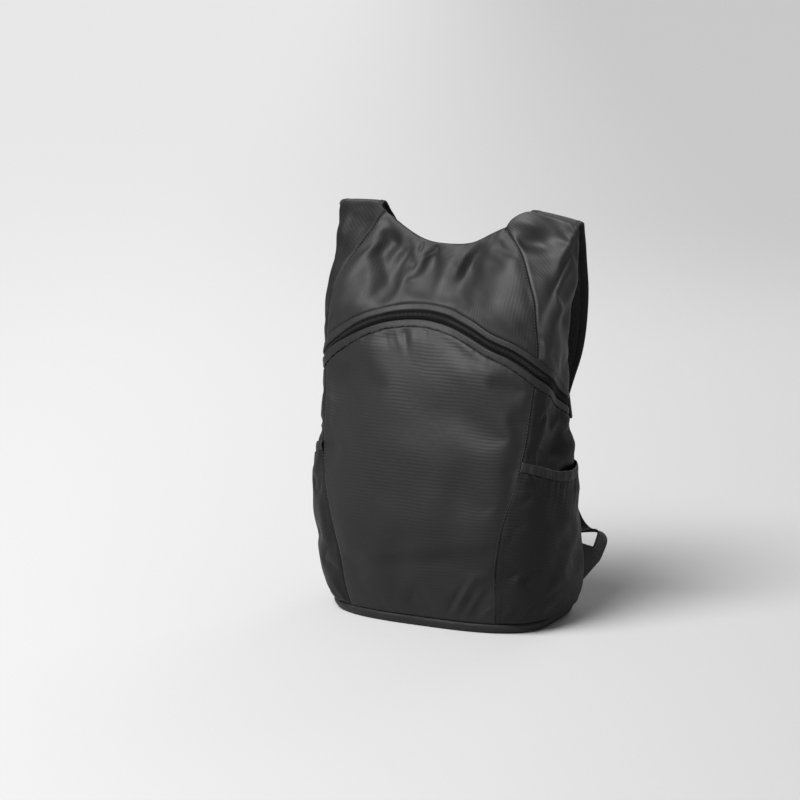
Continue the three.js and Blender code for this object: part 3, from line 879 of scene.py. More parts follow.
@dataclass(frozen=True)
class Fold:
    """One fold of the cloth in a view: a ridge if it rises, a hollow if it falls."""

    across: float
    up: float
    length: float
    width: float
    turn: float
    rise: float
    keen: float = 0.4

    def push(self, across: np.ndarray, up: np.ndarray) -> np.ndarray:
        """How far the cloth is pushed out.

        Args:
            across: Each point's place across the view.
            up: Each point's place up it.

        Returns:
            The push at each point.
        """
        angle = math.radians(self.turn)
        du, dz = across - self.across, up - self.up
        run = (du * math.cos(angle) + dz * math.sin(angle)) / self.length
        bend = 0.18 * self.width * run**2
        off = np.abs(dz * math.cos(angle) - du * math.sin(angle) + bend) / self.width
        soft = np.exp(-(off**2))
        sharp = np.exp(-1.7 * (np.sqrt(off**2 + 0.02) - 0.141))
        return self.rise * np.exp(-(run**2)) * (soft * (1 - self.keen) + sharp * self.keen)


def folded(
    grid: Grid, folds: tuple, view: View = QUARTER_VIEW, mirrored: bool = False
) -> np.ndarray:
    """The push of all the folds on a cloth."""
    points = grid.points * np.array([-1.0 if mirrored else 1.0, 1.0, 1.0])
    across, up = view.place(points)
    return sum((fold.push(across, up) for fold in folds), np.zeros_like(across))


@dataclass(frozen=True)
class Slack:
    """How loosely a panel is cut; Blender's cloth then finds its own wrinkles."""

    growth: float = 0.014
    cell: float = 5.0
    bending: float = 6.0
    frames: int = 14
    limit: float = 4.5
    uneven: float = 0.6
    lumps: float = 34.0
    calm_edge: float = 16.0
    seed: int = 5
    quality: int = 7
    mass: float = 0.12

    def settled(self, grid: Grid) -> Grid:
        """The cloth after it has settled between its sewn edges.

        Args:
            grid: The cloth as its solid gives it, with points a cell apart.
        """
        start = grid.pushed(crumpled(grid, self.uneven, self.lumps, self.seed))
        start.points[[0, -1]] = grid.points[[0, -1]]
        start.points[:, [0, -1]] = grid.points[:, [0, -1]]
        columns, rows = start.points.shape[:2]
        number = np.arange(columns * rows).reshape(columns, rows)
        piece = make_mesh("settling", start.points.reshape(-1, 3), quads(number), None)
        rim = np.unique(np.concatenate([number[0], number[-1], number[:, 0], number[:, -1]]))
        piece.vertex_groups.new(name="sewn").add(rim.tolist(), 1.0, "REPLACE")
        cloth = piece.modifiers.new("cloth", "CLOTH")
        cloth.point_cache.frame_end = self.frames
        options = cloth.settings
        options.vertex_group_mass = "sewn"
        options.quality = self.quality
        options.mass = self.mass
        options.bending_stiffness = self.bending
        options.shrink_min = -self.growth
        options.effector_weights.gravity = 0.0
        scene = bpy.context.scene
        for frame in range(1, self.frames + 1):
            scene.frame_set(frame)
        seen = piece.evaluated_get(bpy.context.evaluated_depsgraph_get()).data
        moved = np.empty(len(seen.vertices) * 3)
        seen.vertices.foreach_get("co", moved)
        scene.frame_set(1)
        mesh = piece.data
        bpy.data.objects.remove(piece)
        bpy.data.meshes.remove(mesh)
        shift = moved.reshape(start.points.shape) / MM - start.points
        shift += start.points - grid.points
        size = np.linalg.norm(shift, axis=2, keepdims=True)
        held = self.limit * np.tanh(size / self.limit) / np.maximum(size, 1e-9)
        inside = soft_step(np.minimum.reduce(grid.edge_gaps()) / self.calm_edge)
        return Grid(grid.points + shift * held * inside[:, :, None])


@dataclass(frozen=True)
class Seam:
    """How the cloth behaves beside one seam."""

    depth: float = 1.3
    width: float = 1.5
    pucker: float = 0.3
    reach: float = 7.0
    gap: float = 3.4
    seed: int = 1

    def push(self, gap: np.ndarray, along: np.ndarray) -> np.ndarray:
        """The rolled edge and the small puckers that run out from it."""
        roll = -self.depth * np.exp(-((gap / self.width) ** 1.6))
        waves = wander(along, self.gap, self.seed)
        strength = 0.35 + 0.65 * soft_step(wander(along, self.gap * 9, self.seed + 50) + 0.5)
        fade = np.exp(-gap / self.reach) * soft_step(gap / (2 * self.width))
        return roll + self.pucker * waves * strength * fade


def crumpled(grid: Grid, amount: float, size: float, seed: int) -> np.ndarray:
    """Soft random unevenness over a cloth.

    Args:
        grid: The cloth.
        amount: The largest push.
        size: The size of its lumps.
        seed: Picks the pattern.

    Returns:
        The push at each point.
    """
    flat = grid.flat()
    rng = np.random.default_rng(seed)
    total = np.zeros(flat.shape[:2])
    waves = 14
    for _ in range(waves):
        angle, phase = rng.uniform(0, 2 * math.pi, 2)
        wave = 2 * math.pi / (size * rng.uniform(0.7, 1.6))
        total += np.sin(
            (flat[:, :, 0] * math.cos(angle) + flat[:, :, 1] * math.sin(angle)) * wave + phase
        )
    return amount * total / math.sqrt(waves)


@dataclass(frozen=True)
class Panel:
    """One cloth panel of the body: its solid's sheet, how it is cut, sewn and folded."""

    node: str
    name: str
    faces: tuple[int, int]
    finish: bpy.types.Material
    seams: tuple[Seam, Seam, Seam, Seam]
    folds: tuple[Fold, ...]
    lumps: tuple[float, float, int]
    slack: Slack = Slack()
    slot: str = "nylon"
    cell: float = FINE_CELL
    view: View = QUARTER_VIEW
    mirrored: bool = False
    raised: bool = False


@dataclass
class Body:
    """The bag's own cloth: front, yoke, shoulders, sides, back and base."""

    front_columns: int = 18
    side_columns: int = 9
    back_columns: int = 14
    lower_rows: int = 14
    upper_rows: int = 10
    back_rows: int = 26
    front_seam: Seam = Seam(pucker=0.35, seed=11)
    zip_seam: Seam = Seam(pucker=0.4, reach=9.0, gap=3.0, seed=21)
    gather_seam: Seam = Seam(width=1.1, pucker=1.0, reach=6.0, gap=2.4, seed=23)
    base_seam: Seam = Seam(pucker=0.55, reach=11.0, gap=4.4, seed=31)
    neck_seam: Seam = Seam(depth=0.5, width=1.0, pucker=0.55, reach=12.0, gap=4.2, seed=41)
    front_folds: tuple = (
        Fold(-94, 18, 45, 9, 92, -2.2, 0.2),
        Fold(-71, 20, 60, 14, 90, 1.2, 0.0),
        Fold(-40, 65, 11, 2.4, 97, -1.7, 0.8),
        Fold(-47, 67, 10, 2.4, 103, 1.1),
        Fold(-33, 68, 9, 2.2, 90, 0.9),
        Fold(-58, 65, 8, 2.2, 100, -0.9),
        Fold(-21, 71, 8, 2.2, 88, -0.9),
        Fold(-17, -130, 60, 8, 6, 1.3, 0.3),
        Fold(-17, -143, 55, 8, 6, -1.3, 0.2),
        Fold(14, -176, 17, 3.0, 62, 2.0, 0.6),
        Fold(6, -179, 14, 3.0, 62, -1.8),
        Fold(24, -183, 12, 2.6, 60, 1.8, 0.6),
        Fold(18, -182, 13, 2.4, 61, -1.7),
        Fold(35, -192, 8, 2.4, 45, 1.4),
        Fold(-35, -179, 8, 5.0, 80, -1.4),
        Fold(62, -58, 60, 10, 80, -1.6, 0.2),
        Fold(14, -40, 95, 34, 90, 3.2, 0.0),
        Fold(-55, -112, 45, 24, 6, 2.0, 0.0),
        Fold(-111, -30, 40, 8, 88, -1.3, 0.2),
    )
    yoke_folds: tuple = (
        Fold(-60, 136, 22, 6.5, 102, -2.1, 0.3),
        Fold(-75, 129, 22, 6.5, 92, 1.4, 0.2),
        Fold(-39, 137, 14, 3.8, 63, 1.6, 0.6),
        Fold(-31, 136, 14, 4.4, 63, -1.3),
        Fold(-50, 116, 10, 5.0, 60, -1.6),
        Fold(-52, 158, 14, 6.0, -35, -1.9, 0.2),
        Fold(-26, 151, 7, 2.5, 70, -1.6, 0.8),
        Fold(-11, 154, 6, 2.5, 100, -1.2, 0.6),
        Fold(21, 134, 19, 4.4, 62, -1.7, 0.4),
        Fold(13, 136, 16, 4.4, 62, 1.2, 0.5),
        Fold(34, 136, 22, 6.0, 66, 1.0, 0.3),
        Fold(53, 100, 30, 12, 95, 0.9, 0.0),
    )
    shoulder_folds: tuple = (
        Fold(76, 171, 13, 6.0, -20, 3.2, 0.3),
        Fold(79, 153, 18, 8.0, -15, -3.6, 0.2),
        Fold(104, 121, 44, 8.0, 64, -5.2, 0.4),
        Fold(111, 150, 24, 5.5, 63, 3.4, 0.5),
        Fold(111, 104, 30, 6.0, 62, 3.0, 0.4),
        Fold(108, 81, 20, 6.0, 70, -1.6, 0.3),
        Fold(88, 60, 32, 9.0, 88, 2.8, 0.1),
    )
    far_shoulder_folds: tuple = (
        Fold(-95, 178, 14, 4.0, 60, -1.2),
        Fold(-84, 172, 12, 4.0, 55, 1.2),
        Fold(-100, 160, 16, 4.0, 75, -1.1),
    )
    side_folds: tuple = (
        Fold(85, -38, 9, 3.0, -10, 1.7, 0.5),
        Fold(97, -41, 24, 8.0, -3, -4.0, 0.2),
        Fold(99, -12, 22, 6.0, 60, -1.8, 0.4),
        Fold(110, -14, 20, 5.0, 66, 1.6, 0.5),
        Fold(118, -42, 15, 16, 90, 6.5, 0.0),
    )
    back_folds: tuple = (
        Fold(-60, 60, 45, 12, 75, -1.8, 0.2),
        Fold(48, 20, 55, 12, 98, -1.8, 0.2),
        Fold(0, -60, 70, 14, 8, 1.4, 0.1),
        Fold(30, 110, 40, 9, 60, 1.6, 0.3),
        Fold(-20, -130, 50, 9, -12, -1.6, 0.3),
    )
    slack: Slack = Slack()
    front_slack: Slack = Slack(growth=0.005, lumps=48.0, seed=4)
    yoke_slack: Slack = Slack(growth=0.008, seed=7)
    sewn_reach: float = 6.0
    seam_limit: float = 1.35
    top_raise: float = 3.0
    top_reach: float = 9.0
    ear_round: float = 8.0
    stitch_column: int = 4
    shoulder_speculars: tuple = (0.2, 0.42)
    base_rings: int = 46
    back_slack: Slack = Slack(growth=0.02, cell=6.5, seed=9)
    thickness: float = CLOTH_THICK
    base_profile: tuple = (
        (0.06, 0.0),
        (0.5, 0.0),
        (0.86, 0.0),
        (0.93, 0.25),
        (0.965, 1.3),
        (0.985, 3.2),
        (0.998, 6.2),
        (1.0, 9.7),
    )
    made: dict = field(default_factory=dict)

    def panel(self, panel: Panel) -> None:
        """Makes one cloth panel over its solid.

        Args:
            panel: What the panel is made from.
        """
        calm = Solid(panel.node).sheet(*panel.faces).fine(panel.slack.cell, False)
        weights = calm.weights(panel.cell)
        grid = panel.slack.settled(calm).read(*weights)
        if panel.raised:
            grid = self._raised(grid)
        loose = folded(grid, panel.folds, panel.view, panel.mirrored)
        loose = loose + crumpled(grid, *panel.lumps)
        push = self._seams(grid, *panel.seams) + loose * self._inner(grid)
        grid = grid.pushed(push, calm.read(*weights).normals())
        piece = make_mesh(panel.name, *grid.thick(self.thickness))
        dress(piece, panel.finish, panel.slot, panel.node)
        self.made[panel.node] = grid

    def _raised(self, grid: Grid) -> Grid:
        """A shoulder with its top edge drawn up into an ear."""
        left, right, _, top = grid.edge_gaps()
        ends = soft_step(left / self.ear_round) * soft_step(right / self.ear_round)
        moved = grid.points.copy()
        moved[:, :, 2] += self.top_raise * np.exp(-((top / self.top_reach) ** 2)) * ends
        return Grid(moved)

    def topstitch(self, stitching: Stitching, node: str) -> None:
        """Sews along both upright edges of a made panel."""
        grid = self.made[node]
        out = grid.normals()
        for column in (self.stitch_column, -1 - self.stitch_column):
            stitching.sew(grid.points[column], out[column])

    def _seams(self, grid: Grid, left: Seam, right: Seam, foot: Seam, top: Seam) -> np.ndarray:
        """The push of the four seams round a panel."""
        gaps = grid.edge_gaps()
        across, along = grid.run(0), grid.run(1)
        total = left.push(gaps[0], along) + right.push(gaps[1], along)
        total += foot.push(gaps[2], across) + top.push(gaps[3], across)
        return np.maximum(total, -self.seam_limit)

    def _inner(self, grid: Grid) -> np.ndarray:
        """0 at a panel's seams, rising to 1 a little inside them."""
        return soft_step(np.minimum.reduce(grid.edge_gaps()) / self.sewn_reach)

    def front(self) -> None:
        """The lower front and the yoke above the zip."""
        seam = self.front_seam
        level = NylonFinish("front nylon").material()
        upright = NylonFinish("yoke nylon", rib_run=RibRun.UPRIGHT, rib_height=0.025).material()
        lower = Panel(
            "front_lower_panel",
            "front_cloth",
            (self.front_columns, self.lower_rows),
            level,
            (seam, seam, self.base_seam, self.gather_seam),
            self.front_folds,
            (0.25, 45, 3),
            self.front_slack,
        )
        yoke = Panel(
            "front_yoke",
            "yoke_cloth",
            (self.front_columns, self.upper_rows),
            upright,
            (seam, seam, self.zip_seam, self.neck_seam),
            self.yoke_folds,
            (0.25, 36, 5),
            self.yoke_slack,
        )
        for panel in (lower, yoke):
            self.panel(panel)

    def sides(self) -> None:
        """The shoulders and the lower sides."""
        slanted = {
            tag: NylonFinish(
                tag + " shoulder nylon", rib_run=RibRun.SLANTED, rib_height=0.03, specular=specular
            ).material()
            for tag, specular in zip(SIDES, self.shoulder_speculars)
        }
        level = NylonFinish("side nylon", rib_height=0.08, specular=0.2).material()
        seam = self.front_seam
        for tag in SIDES:
            shoulder = Panel(
                "shoulder_panel_" + tag,
                "shoulder_cloth_" + tag,
                (self.side_columns, self.upper_rows),
                slanted[tag],
                (seam, seam, self.zip_seam, self.neck_seam),
                self.shoulder_folds if tag == "right" else self.far_shoulder_folds,
                (0.3, 30, 7 + len(tag)),
                self.slack,
                raised=True,
            )
            side = Panel(
                "side_lower_" + tag,
                "side_cloth_" + tag,
                (self.side_columns, self.lower_rows),
                level,
                (seam, seam, self.base_seam, self.zip_seam),
                self.side_folds,
                (0.3, 34, 9 + len(tag)),
                self.slack,
                "side_nylon",
                mirrored=tag == "left",
            )
            for panel in (shoulder, side):
                self.panel(panel)

    def back(self) -> None:
        """The back in one piece."""
        self.panel(
            Panel(
                "back_panel",
                "back_cloth",
                (self.back_columns, self.back_rows),
                NylonFinish("back nylon", shade=0.009).material(),
                (self.front_seam, self.front_seam, self.base_seam, self.neck_seam),
                self.back_folds,
                (0.4, 48, 15),
                self.back_slack,
                "side_nylon",
                COARSE_CELL,
                BACK_VIEW,
            )
        )

    def base(self) -> None:
        """The base: a flat floor that turns up to the seam round the bag's foot."""
        parts = ("front_lower_panel", "side_lower_right", "back_panel", "side_lower_left")
        foot = np.concatenate([self.made[node].points[:, 0] for node in parts])
        centre = (foot.max(0) + foot.min(0)) / 2
        seam_z = foot[:, 2].mean()
        profile = np.array(self.base_profile)
        places = np.linspace(0, len(profile) - 1, self.base_rings)
        weights = spline_weights(len(profile), places)
        size, z = (weights @ profile).T
        z = np.clip(z, 0.0, None) * (seam_z - 0.4) / self.base_profile[-1][1]
        ring = np.concatenate([foot, foot[:1]])
        points = centre + (ring[:, None] - centre) * size[None, :, None]
        points[:, :, 2] = z[None]
        grid = Grid(points)
        gaps = grid.edge_gaps()
        push = self.base_seam.push(gaps[3], grid.run(0)) * soft_step((z[None] - 1.0) / 3)
        grid = grid.pushed(push)
        grid.points[-1] = grid.points[0]
        points, faces, flat = grid.thick(self.thickness)
        points[:, 2] = np.maximum(points[:, 2], 0.0)
        piece = make_mesh("base_cloth", points, faces, flat)
        finish = NylonFinish("base nylon", shade=0.009, rib_height=0.02, specular=0.27).material()
        dress(piece, finish, "nylon", "base_panel")

    def build(self) -> None:
        """Builds every panel."""
        self.front()
        self.sides()
        self.back()
        self.base()
        stitching = Stitching(pitch=2.9, length=2.0)
        for node in ("front_lower_panel", "front_yoke"):
            self.topstitch(stitching, node)
        thread = YarnFinish("seam thread", shade=0.03, roughness=0.5).material()
        dress(stitching.made("seam_stitches"), thread, "nylon")


@dataclass
class Zip:
    """The arched zip: two folded bands, the tape, the coil and its slider."""

    columns: int = 36
    slider_lift: float = 0.4
    slider_rings: tuple = ((0, 0.4), (0.06, 0.62), (0.3, 0.7), (0.6, 1), (0.92, 0.96), (1, 0.7))
    pull_length: float = 17.0
    pull_rings: tuple = ((0, 0.3), (0.05, 0.55), (0.3, 0.6), (0.55, 1), (0.94, 1), (1, 0.7))
    tooth_gap: float = 1.3
    tooth_reach: float = 2.5
    tooth_lap: float = 0.5
    tooth_wide: float = 0.85
    tooth_tall: float = 1.1
    coil_lift: float = -0.1
    band_crown: float = 0.35
    band_waves: float = 0.22
    edge_gathers: float = 0.8
    edge_lap: float = 1.0
    covers: tuple = (2.0, 3.3)
    cover_lift: float = 1.3
    cover_end: float = 150.0
    cover_fade: float = 45.0
    end_reach: float = 6.0
    end_sink: float = 0.8
    cell: float = 1.5
    band_rows: int = 13
    stitch_share: float = 0.3
    tape_rows: int = 7
    tape_sink: float = 0.9
    slider_half: float = 6.0
    slider_section: tuple = (7.0, 3.0)
    bridge_lift: float = 2.0
    bridge_ends: tuple = (4.0, 3.0)
    bridge_section: tuple = (2.2, 1.4)
    pull_lift: float = 2.9
    pull_section: tuple = (5.0, 1.1)

    def band(
        self,
        node: str,
        name: str,
        coil_side: int,
        finish: bpy.types.Material,
        stitching: Stitching,
    ) -> None:
        """One folded band beside the coil.

        Args:
            node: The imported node.
            name: The piece's name.
            coil_side: 1 where the coil lies below the band, else 0.
            finish: Its material.
            stitching: Takes the band's run of stitches.
        """
        grid = Solid(node).sheet(self.columns, 1).lengthwise(self.cell, self.band_rows)
        share = np.linspace(0, 1, self.band_rows)[None]
        toward = share if coil_side == 0 else 1 - share
        along = grid.run(0)
        crown = self.band_crown * np.sin(np.pi * np.clip(0.1 + 0.8 * toward, 0, 1)) ** 0.6
        fold = -1.3 * soft_step((toward - 0.84) / 0.16) - 0.6 * soft_step((0.13 - toward) / 0.13)
        end = np.minimum(along, along[-1:] - along) / self.end_reach
        waves = wander(along, 3.1, 61 + coil_side) * self.band_waves * (1 - toward)
        rise = grid.points[:, -1:] - grid.points[:, :1]
        rise *= (1 if coil_side else -1) / np.linalg.norm(rise, axis=2, keepdims=True)
        gathers = wander(along, 2.4, 67) * self.edge_gathers * (1 - coil_side)
        covered = soft_step((self.cover_end - along) / self.cover_fade)
        lap = (self.edge_lap + gathers) * (1 - toward) ** 2
        lap -= self.covers[coil_side] * covered * toward**2
        grid = Grid(grid.points + rise * lap[:, :, None])
        crown = crown + self.cover_lift * covered * toward**2
        sunk = self.end_sink * (1 - soft_step(end))
        grid = grid.pushed(crown + fold + waves - 0.75 - sunk)
        piece = make_mesh(name, *grid.thick(0.8))
        dress(piece, finish, "nylon", node)
        out = grid.normals()
        share = self.stitch_share if coil_side else 1 - self.stitch_share
        row = int(round(share * (self.band_rows - 1)))
        stitching.sew(grid.points[:, row], out[:, row])

    def build(self) -> None:
        """Builds the zip."""
        plain = NylonFinish("zip band nylon", shade=0.008, rib_height=0.015, specular=0.3)
        nylon = plain.material()
        thread = YarnFinish("black thread", shade=0.014).material()
        stitching = Stitching()
        self.band("zip_band_upper", "zip_band_over", 1, nylon, stitching)
        self.band("zip_band_lower", "zip_band_under", 0, nylon, stitching)
        tape = Solid("zip_tape").sheet(self.columns, 1).lengthwise(self.cell, self.tape_rows)
        tape = tape.pushed(np.full(tape.points.shape[:2], -self.tape_sink))
        piece = make_mesh("zip_tape_cloth", *tape.thick(0.6))
        # The tape's own black, made darker still as painted shade for the dark lines in the recess
        # beside the coil.
        tape_with_painted_shade = WebbingFinish("zip tape", shade=0.002, pitch=0.9, height=0.05, specular=0.05)
        dress(piece, tape_with_painted_shade.material(), "zip_coil", "zip_tape")
        centre_row = self.tape_rows // 2
        middle, out = tape.points[:, centre_row], tape.normals()[:, centre_row]
        up_way = tape.points[:, -1] - tape.points[:, 0]
        at, away, rise = evenly(middle, self.tooth_gap / 2, out, up_way)
        away, rise, ahead = unit(away), unit(rise), unit(np.gradient(at, axis=0))
        sign = np.where(np.arange(len(at)) % 2 == 0, 1.0, -1.0)[:, None]
        raised = at + away * (self.coil_lift + 0.5)
        starts = raised + rise * sign * self.tooth_reach - away * 0.35
        ends = raised - rise * sign * self.tooth_lap + ahead * 0.25
        teeth = make_mesh(
            "zip_coil", *spindles(starts, ends, away, self.tooth_wide, self.tooth_tall), None
        )
        coil = YarnFinish("coil nylon", shade=0.005, roughness=0.5, specular=0.22)
        dress(teeth, coil.material(), "zip_coil")
        dress(stitching.made("zip_stitches"), thread, "nylon")
        self.slider(at, away, ahead)

    def slider(self, line: np.ndarray, out: np.ndarray, ahead: np.ndarray) -> None:
        """The slider: a tapered body, its bridge and a hanging pull.

        Args:
            line: Points along the coil.
            out: The outward direction at each of them.
            ahead: The coil's direction at each of them.
        """
        points = node_points("zip_slider")
        middle = (points.max(0) + points.min(0)) / 2
        near = int(np.argmin(np.linalg.norm(line - middle, axis=1)))
        away, along = out[near : near + 1], ahead[near : near + 1]
        middle = middle[None] + away * self.slider_lift
        half = along * self.slider_half
        body = spindles(
            middle - half, middle + half, away, *self.slider_section, self.slider_rings, 12, 0.7
        )
        bridge = middle + away * self.bridge_lift
        start, stop = bridge - along * self.bridge_ends[0], bridge + along * self.bridge_ends[1]
        arch = spindles(start, stop, away, *self.bridge_section, BAR_RINGS, 12, 0.7)
        top = middle + away * self.pull_lift
        foot = top + np.array([[0.0, 0.0, -self.pull_length]])
        pull = spindles(top, foot, away, *self.pull_section, self.pull_rings, 12, 0.6)
        piece = make_mesh("zip_slider_body", *joined([body, arch, pull]), None)
        finish = PlasticFinish("slider plastic", roughness=0.5).material()
        dress(piece, finish, "plastic", "zip_slider")


@dataclass
class SidePockets:
    """The two side pockets and their gathered elastic hems."""

    columns: int = 9
    rows: int = 9
    hem_gathers: float = 0.6
    mouth_gathers: float = 0.8
    front_rise: float = 6.0
    sag: float = 3.5
    reach: float = 60.0
    stand_off: float = 1.2
    lean_in: float = 4.2
    lean_at: float = 0.9
    lean_reach: float = 0.28
    end_sink: float = 1.6
    end_reach: float = 9.0
    hug: float = 1.3
    end_lap: float = 0.7
    end_fade: float = 4.0
    seam: Seam = Seam(depth=0.9, pucker=0.3, seed=71)
    foot_seam: Seam = Seam(depth=0.9, pucker=0.5, reach=10.0, gap=4.0, seed=73)
    hem_cell: float = 1.1
    hem_rows: int = 12
    slack: Slack = Slack(growth=0.012, seed=17)
    folds: tuple = (
        Fold(104, -127, 50, 8, 88, -1.6, 0.2),
        Fold(90, -113, 50, 9, 88, 1.2, 0.1),
        Fold(74, -66, 13, 2.6, -62, 1.2, 0.6),
        Fold(82, -70, 16, 2.8, -70, 1.2, 0.6),
        Fold(78, -68, 14, 2.6, -66, -1.2, 0.6),
        Fold(53, -196, 8, 2.5, 60, 1.3, 0.5),
        Fold(69, -194, 10, 2.6, 50, 1.5, 0.6),
        Fold(76, -190, 10, 2.6, 50, -1.4, 0.5),
        Fold(100, -176, 14, 4.0, 40, -1.2, 0.4),
    )

    def lifted(self, grid: Grid, fade: np.ndarray, tag: str) -> Grid:
        """The cloth with its mouth higher at the front, sagging, and closer to the bag behind.

        Args:
            grid: The cloth.
            fade: How far each point follows the mouth, 1 at the mouth.
            tag: The pocket's side.

        Returns:
            The moved cloth.
        """
        low, high = (v.co.y / MM for v in self._hem_ends(tag))
        share = np.clip((grid.points[:, :, 1] - low) / (high - low), 0, 1)
        rise = self.front_rise * (1 - share) ** 1.5 - self.sag * np.sin(np.pi * share)
        moved = grid.points.copy()
        moved[:, :, 2] += rise * fade
        lean = self.lean_in * np.exp(-(((share - self.lean_at) / self.lean_reach) ** 2))
        moved[:, :, 0] -= np.sign(moved[:, :, 0]) * lean * fade
        return Grid(moved)

    def _sunk(self, grid: Grid) -> np.ndarray:
        """How deep a pocket lies at its two upright seams and along the front of the side."""
        left, right = grid.edge_gaps()[:2]
        ends = sum(np.exp(-((gap / self.end_reach) ** 2)) for gap in (left, right))
        depth = grid.points[:, :, 1]
        share = (depth - depth.min()) / (depth.max() - depth.min())
        return self.end_sink * ends + self.hug * (1 - soft_step((share - 0.25) / 0.35))

    def _lapped(self, grid: Grid) -> Grid:
        """The cloth drawn out over its two upright seams."""
        left, right = grid.edge_gaps()[:2]
        shift = self.end_lap * (np.exp(-right / self.end_fade) - np.exp(-left / self.end_fade))
        return Grid(grid.points + unit(np.gradient(grid.points, axis=0)) * shift[:, :, None])

    @staticmethod
    def _hem_ends(tag: str) -> list:
        """The foremost and rearmost points of a hem's solid."""
        points = FRAME["nodes"]["pocket_hem_" + tag].data.vertices
        return [pick(points, key=lambda v: v.co.y) for pick in (min, max)]

    def build(self) -> None:
        """Builds both pockets."""
        cloth = NylonFinish("pocket nylon", rib_height=0.08, specular=0.2).material()
        hem_finish = NylonFinish("hem nylon", shade=0.007, rib_height=0.015, specular=0.3)
        hem_cloth = hem_finish.material()
        for tag in SIDES:
            self.pocket(tag, cloth)
            self.hem(tag, hem_cloth)

    def pocket(self, tag: str, cloth: bpy.types.Material) -> None:
        """One pocket's cloth, gathered at its mouth."""
        seam, foot_seam = self.seam, self.foot_seam
        sheet = Solid("side_pocket_" + tag).sheet(self.columns, self.rows)
        calm = sheet.fine(self.slack.cell, False)
        weights = calm.weights(FINE_CELL)
        grid = self.slack.settled(calm).read(*weights)
        left, right, foot, top = grid.edge_gaps()
        along, across = grid.run(1), grid.run(0)
        gathers = wander(across, 3.6, 81) * np.exp(-top / 16) * self.mouth_gathers
        push = seam.push(left, along) + seam.push(right, along) + foot_seam.push(foot, across)
        push += gathers + crumpled(grid, 0.25, 26, 83) + self.stand_off * np.exp(-top / 25)
        push += folded(grid, self.folds, mirrored=tag == "left")
        push -= self._sunk(grid)
        grid = self._lapped(grid.pushed(push, calm.read(*weights).normals()))
        grid = self.lifted(grid, np.exp(-((top / self.reach) ** 2)), tag)
        piece = make_mesh("pocket_cloth_" + tag, *grid.thick(CLOTH_THICK))
        dress(piece, cloth, "side_nylon", "side_pocket_" + tag)

    def hem(self, tag: str, cloth: bpy.types.Material) -> None:
        """One pocket's hem: a gathered tube round the elastic."""
        sheet = Solid("pocket_hem_" + tag, 3.0).sheet(self.columns, 1)
        hem = sheet.lengthwise(self.hem_cell, self.hem_rows)
        share = np.linspace(0, 1, self.hem_rows)[None]
        puffed = 0.7 * np.sin(np.pi * share) ** 0.7 - 0.4 + 0.5 * self.stand_off
        waves = wander(hem.run(0), 2.5, 91) * self.hem_gathers * np.sin(np.pi * share) ** 0.5
        hem = self._lapped(hem.pushed(puffed + waves - 1.2 * self._sunk(hem)))
        hem = self.lifted(hem, np.ones(hem.points.shape[:2]), tag)
        piece = make_mesh("hem_cloth_" + tag, *hem.thick(CLOTH_THICK))
        dress(piece, cloth, "hem", "pocket_hem_" + tag)


@dataclass(frozen=True)
class Rails:
    """A flat band's middle line with its width and thickness at each point."""

    centre: np.ndarray
    side: np.ndarray
    out: np.ndarray

    def line(self, across: float, height: float) -> np.ndarray:
        """A line along the band, by its shares of the width and of half the thickness."""
        return self.centre + self.side * across + self.out * (height / 2)

    def skin(self, profile: list) -> tuple[np.ndarray, np.ndarray, np.ndarray]:
        """A closed skin with one section all along the band.

        Args:
            profile: The section's (across, height) as for line, there and back.

        Returns:
            The points, the four-cornered faces and the places on the flat cloth.
        """
        points = np.stack([self.line(across, height) for across, height in profile])
        steps = np.linalg.norm(np.diff(self.centre, axis=0), axis=1)
        run = np.concatenate([[0], np.cumsum(steps)])
        wide = np.linalg.norm(self.side, axis=1)
        across = np.array(profile)[:, 0, None] * wide[None]
        flat = np.stack([across, np.broadcast_to(run[None], across.shape)], 2)
        count, length = points.shape[:2]
        number = np.arange(count * length).reshape(count, length)
        after = np.roll(number, -1, axis=0)
        walls = np.stack([number[:, :-1], after[:, :-1], after[:, 1:], number[:, 1:]], 2)
        faces = [walls.reshape(-1, 4)]
        for end, turned in ((number[:, 0], False), (number[:, -1], True)):
            cap = np.array(
                [
                    [end[k], end[k + 1], end[count - 2 - k], end[count - 1 - k]]
                    for k in range(count // 2 - 1)
                ]
            )
            faces.append(cap if turned else cap[:, ::-1])
        return points.reshape(-1, 3), np.concatenate(faces), flat.reshape(-1, 2)


